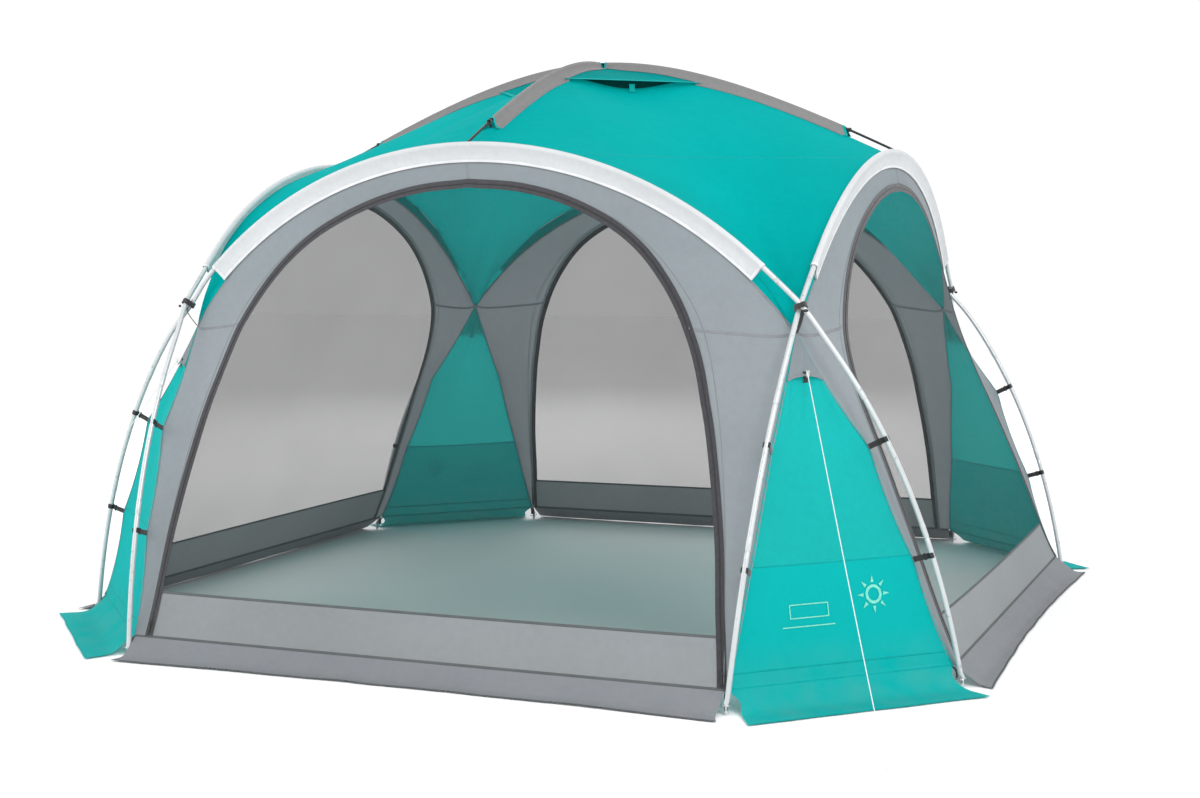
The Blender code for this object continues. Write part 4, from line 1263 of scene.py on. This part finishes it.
# ---- the roof -----------------------------------------------------------------------------------
ROOF_ROWS = (0.0, 0.09, VENT_HOLE, 0.34, VENT_CAP, 0.66, 0.82, 0.98, 1.14, 1.298)
HALF_COLUMNS, CANOPY_SEAM, CAP_LIFT = 6, 0.026, 0.007
CANOPY_ROWS, CANOPY_COLUMNS, CROSS_SEAM_Z = 60, 73, 1.868


def canopy_edge(stations):
    """Edge of the roof along the right half of the front arch, drawn down to the fabric corner."""
    point = arch_points(stations, CANOPY_DROP, 0.008)
    return point + (np.array(CORNER) - point) * ease((stations - 1.05) / (CROSSING - 1.05))[:, None]


def roof_quarter():
    """Coarse grid over the front right quarter, relaxed as stretched cloth."""
    columns = 2 * HALF_COLUMNS + 1
    front = canopy_edge(np.linspace(0, CROSSING, HALF_COLUMNS + 1))
    outer = np.concatenate([front, mirrored(front)[-2::-1]])
    grid = np.zeros((len(ROOF_ROWS), columns, 3))
    free = np.ones_like(grid)
    for j, d in enumerate(ROOF_ROWS):
        for i, t in enumerate(np.linspace(0, 1, columns)):
            grid[j, i] = (d * t, -d * (1 - t), roof_height(d) - CANOPY_SEAM)
        if d <= VENT_CAP:
            free[j, :, :2] = 0
    inside = ROOF_ROWS.index(VENT_CAP)
    for j in range(inside + 1, len(ROOF_ROWS)):
        t = (ROOF_ROWS[j] - VENT_CAP) / (ROOF_ROWS[-1] - VENT_CAP)
        grid[j, 1:-1] = (grid[inside] + (outer - grid[inside]) * t)[1:-1]
        grid[j, 0, 2] += t * (outer[0, 2] - (roof_height(ROOF_ROWS[-1]) - CANOPY_SEAM))
        grid[j, -1, 2] = grid[j, 0, 2]
    grid[-1] = outer
    return relaxed(grid, free, fullness=ROOF_FULLNESS)


def canopy_flap(end):
    """Strip of roof cloth between the canopy's edge and a band, behind the arch sleeve."""
    stations = np.linspace(0, CROSSING, HALF_COLUMNS * 6 + 1)
    upper, lower = canopy_edge(stations), band_edge(stations) + (0, 0.001, 0.0)
    return ruled(upper, lower, 5) * (end, 1.0, 1.0)


def contour(base, grid, normals, height):
    """Line over a roof quarter at one height of its unwrinkled base, with the cloth's normals."""
    points, facing = [], []
    numbers = np.arange(grid.shape[0])
    for column in range(grid.shape[1]):
        z = base[:, column, 2]
        if z[-1] < height - 0.004:
            place = np.interp(-height, -z, numbers)
            for made, source in ((points, grid), (facing, normals)):
                made.append([np.interp(place, numbers, source[:, column, k]) for k in range(3)])
    return np.array(points), np.array(facing)


def make_canopy(quarter):
    hole = ROOF_ROWS.index(VENT_HOLE)
    base = refined(quarter[hole:], CANOPY_ROWS, CANOPY_COLUMNS)
    v = np.linspace(0, 1, CANOPY_ROWS)[:, None]
    edge = np.linspace(0, 1, CANOPY_COLUMNS)[None, :]
    fade = edge_fade(base, 0.15, 0.10) * ease((v - 0.28) / 0.15)
    strain = (np.sin(edge * 88 + 3 * v) * np.exp(-((edge - 0.5) / 0.12) ** 2)
              * ease((v - 0.55) / 0.4) * ease((1 - v) / 0.06))
    grids, seams = [], []
    for side in range(4):
        grid = pushed(base, fade * (0.006 * noise_field(base, 0.55, side + 51)
                                    + 0.0014 * noise_field(base, 0.12, side + 61, (1.5, 0.7))))
        grid = pushed(grid, 0.0020 * strain)
        grids.append(turned(grid, side))
        level, facing = contour(base, grid, grid_normals(grid), CROSS_SEAM_Z)
        seams.append(seam(turned(level, side), turned(facing, side), 0.005, 0.0006))
    for side in range(4):
        for end in (-1, 1):
            grids.append(turned(canopy_flap(end), side))
    cloth("canopy", grids, "teal", ["roof_canopy"])
    add_joined("canopy_seams", seams, "seam_teal")


def vent_cap_grid(quarter, raised):
    rows = ROOF_ROWS.index(VENT_CAP) + 1
    cap = np.array(quarter[:rows])
    chord = cap[-1, 0, 2]
    for j in range(rows):
        share = (ROOF_ROWS[j] / VENT_CAP) ** 2
        cap[j, :, 2] += CAP_LIFT + ((chord - cap[-1, :, 2]) * share if raised else 0.0)
    return cap


def make_vent(quarter):
    grids, hems = [], []
    for side in range(4):
        cap = refined(vent_cap_grid(quarter, side in (0, 2)), 26, 49)
        cap[0] = cap[0, 0]
        cap = turned(cap, side)
        grids.append(cap)
        hems.append(seam(cap[-1], grid_normals(cap)[-1], 0.012, 0.0022))
    cloth("vent_cap", grids, "teal", ["roof_vent_cap"])
    add_joined("vent_cap_hem", hems, "seam_teal")
    # The vent netting spreads past the canopy's hole over the cloth to near the cap's edge, as
    # painted shade of the dark opening under the cap.
    net = refined(quarter[:ROOF_ROWS.index(VENT_CAP) + 1], 21, 25)[:19] + (0.0, 0.0, 0.003)
    net[0] = net[0, 0]
    cloth("vent_mesh_and_painted_shade", [turned(net, side) for side in range(4)], "vent_net_and_painted_shade", [])
    edge = quarter[ROOF_ROWS.index(VENT_CAP)]
    middle = edge[HALF_COLUMNS]
    tall = edge[0, 2] + CAP_LIFT - middle[2] - 0.026
    for side, name in ((0, "front"), (2, "back")):
        make_vent_prop(side, name, middle, tall)


def make_vent_prop(side, name, foot, tall):
    """Stiffened tab of doubled cloth, on its hinge at the canopy."""
    lean = math.radians(6)
    inward = -OUT_CORNER
    across = ALONG_CORNER
    up = np.array((0.0, 0.0, 1.0)) * math.cos(lean) + inward * math.sin(lean)
    flat = np.cross(across, up)
    base = foot + inward * 0.012 + (0.0, 0.0, 0.0125)
    path = base + up * np.linspace(0, tall, 14)[:, None]
    parts = [swept("prop", turned(path, side), strap_profile(0.025, 0.0028),
                   up=turned(flat, side))]
    for height in (0.002, tall - 0.002):
        fold = [base + up * height + across * reach for reach in (-0.0135, 0.0135)]
        parts.append(swept("fold", turned(fold, side), circle(0.0024, 8)))
    add_joined(f"{name}_vent_prop", parts, "seam_teal", f"{name}_vent_stay",
               [f"vent_prop_{name}"])


SLEEVE_ACROSS = (0.0, 0.0052, 0.0090, 0.0112, 0.0130, 0.0170, 0.0220, 0.0270, 0.0310, 0.0360,
                 0.0420, 0.0470)
SLEEVE_LEVEL = (0.0108, 0.0092, 0.0052, -0.0010, -0.0070, -0.0150, -0.0240, -0.0330, -0.0400)


def roof_tree():
    """The canopy and its vent cap, to find the cloth under a point."""
    verts, faces = [], []
    for name in ("canopy", "vent_cap"):
        mesh, start = bpy.data.objects[name].data, len(verts)
        verts += [v.co.copy() for v in mesh.vertices]
        faces += [[start + i for i in face.vertices] for face in mesh.polygons]
    return BVHTree.FromPolygons(verts, faces)


def roof_under(roof, points, lift):
    """The points lowered on to the roof cloth, a little above it."""
    made = np.array(points)
    for k, point in enumerate(points):
        hit = roof.ray_cast(Vector((point[0], point[1], 3.0)), Vector((0, 0, -1)))[0]
        made[k, 2] = hit.z + lift
    return made


def make_roof_sleeve(side, name, roof):
    """Gathered cloth channel over half a roof pole, sewn down to the roof on each side."""
    d = np.linspace(SLEEVE_START, SLEEVE_END, 191)
    slope = -ROOF_FALL * d / np.hypot(d, ROOF_ROUND)
    up = unit(np.stack([np.zeros_like(d), -slope, np.ones_like(d)], axis=1))
    base = np.stack([np.zeros_like(d), -d, roof_height(d)], axis=1)
    gather = 0.0012 * np.sin(d * 260 + 3 * np.sin(d * 23)) + 0.0012 * np.sin(d * 90 + side)
    rows = []
    for hand in (-1, 1):
        half = []
        for number, across in enumerate(SLEEVE_ACROSS):
            sideways = np.zeros_like(base)
            sideways[:, 0] = hand * np.minimum(across, 0.9 * d)
            low = roof_under(roof, turned(base + sideways, side), 0.0015)
            if number < len(SLEEVE_LEVEL):
                share = math.exp(-(across - 0.019) ** 2 / 0.0001)
                level = (SLEEVE_LEVEL[number] + gather * share)[:, None]
                high = turned(base + sideways + up * level, side)
                low[:, :2] = high[:, :2]
                low[:, 2] = np.maximum(high[:, 2], low[:, 2])
            half.append(low)
        rows.append(half)
    grid = np.array(rows[0][:0:-1] + rows[1])
    cloth(f"{name}_roof_sleeve", [grid], "taupe", [f"roof_sleeve_{name}"])
    normals = grid_normals(grid)
    hems = [seam(grid[row], normals[row], 0.009, 0.0014, 0.0006) for row in (1, -2)]
    add_joined(f"{name}_roof_sleeve_seams", hems, "seam_grey")
    ends = [seam(grid[:, column], normals[:, column], 0.010, 0.0016) for column in (1, -2)]
    add_joined(f"{name}_roof_sleeve_ends", ends, "seam_teal")
    turns = angles(24)
    place = np.array((0.0, -SLEEVE_END - 0.014, roof_height(SLEEVE_END + 0.014)))
    ring = [place + (0.0078 * math.cos(a), 0.0, 0.0078 * math.sin(a)) for a in turns]
    ring_up = [(math.cos(a), 0.0, math.sin(a)) for a in turns]
    tie = swept("tie", turned(ring, side), strap_profile(0.016, 0.002), up=turned(ring_up, side),
                closed=True)
    under = [place + (0, 0.004, -0.008), place + (0, 0.012, -0.018), place + (0, 0.022, -0.030)]
    tail = swept("tail", turned(smooth_curve(under, 12), side), strap_profile(0.014, 0.002),
                 up=turned((0.0, -0.7, -0.7), side))
    add_joined(f"{name}_roof_sleeve_tie", [tie, tail], "strap")


# ---- prints on the corners ----------------------------------------------------------------------
def on_panel(panel, normals, u, z, lift):
    """Point on a corner panel at a sideways distance from its middle and a height."""
    levels = panel[:, MIDDLE, 2]
    row = int(np.argmin(np.abs(levels - z)))
    wide = np.linalg.norm(panel[row, -1] - panel[row, 0])
    place = (0.5 + u / wide) * (panel.shape[1] - 1)
    i = int(np.clip(math.floor(place), 0, panel.shape[1] - 2))
    t = place - i
    above = row - 1 if levels[row] < z else row
    low, high = levels[above + 1], levels[above]
    k = float(np.clip((z - low) / (high - low), 0, 1))

    def mix(grid):
        lower = grid[above + 1, i] * (1 - t) + grid[above + 1, i + 1] * t
        upper = grid[above, i] * (1 - t) + grid[above, i + 1] * t
        return lower * (1 - k) + upper * k

    return mix(panel) + unit(mix(normals)) * lift


def make_prints(side, name, panel, normals):
    """Plain sun and an empty label frame, without lettering."""
    bands = []

    def band(*lines):
        bands.append(np.array([[on_panel(panel, normals, u, z, 0.0024) for u, z in line]
                               for line in lines]))

    def spot(reach, angle):
        return sun_u + reach * math.cos(angle), sun_z + reach * math.sin(angle)

    sun_u, sun_z = 0.150, 0.335
    band(*([spot(reach, a) for a in np.linspace(0, 2 * math.pi, 49)] for reach in (0.032, 0.022)))
    for ray in range(8):
        a = ray * math.pi / 4
        band(*([spot(0.040, a + b), spot(0.064, a)] for b in (-0.16, 0.16)))
    label, half, rim = (-0.105, 0.300), np.array((0.075, 0.024)), 0.004
    outer = resampled(half * ((-1, -1), (1, -1), (1, 1), (-1, 1), (-1, -1)), 61)
    band(outer + label, outer * (half - rim) / half + label)
    band(*([(u, z) for u in np.linspace(-0.21, -0.01, 25)] for z in (0.248, 0.252)))
    link(f"{name}_prints", grid_mesh(f"{name}_prints", [turned(b, side) for b in bands]), "ink")


# ---- the whole shelter --------------------------------------------------------------------------
def main():
    make_camera()
    make_studio()
    for name, route in GUYLINES.items():
        make_guyline(name, route)
    for side, name in enumerate(SIDES):
        make_arch_poles(side, name)
        make_arch_sleeve(side, name)
        make_band(side, name)
        body = f"{name}_door" if name in DOORS else SHELL
        make_zip(side, name, body)
        make_screen(side, name, body)
        sill = f"door_sill_{name}" if name in DOORS else f"wall_sill_{name}"
        make_sill(side, name, body, [sill])
        make_skirt(side, name, [f"ground_skirt_{name}" if name in DOORS else sill])
        if name in DOORS:
            for label, end in (("left", -1), ("right", 1)):
                make_zip_slider(side, name, label, end)
    for side, name in enumerate(CORNERS):
        panel, normals = make_corner(side, name)
        if name in ("front_right", "back_left"):
            make_prints(side, name, panel, normals)
        make_clips(side, name)
        make_pole_tie(side, name)
        make_feet(side, name)
    make_roof_pole("roof_pole_side_to_side", 0, ROOF_WEAVE)
    make_roof_pole("roof_pole_front_to_back", 1, -ROOF_WEAVE)
    quarter = roof_quarter()
    make_canopy(quarter)
    make_vent(quarter)
    roof = roof_tree()
    for side, name in enumerate(SIDES):
        make_roof_sleeve(side, name, roof)


main()
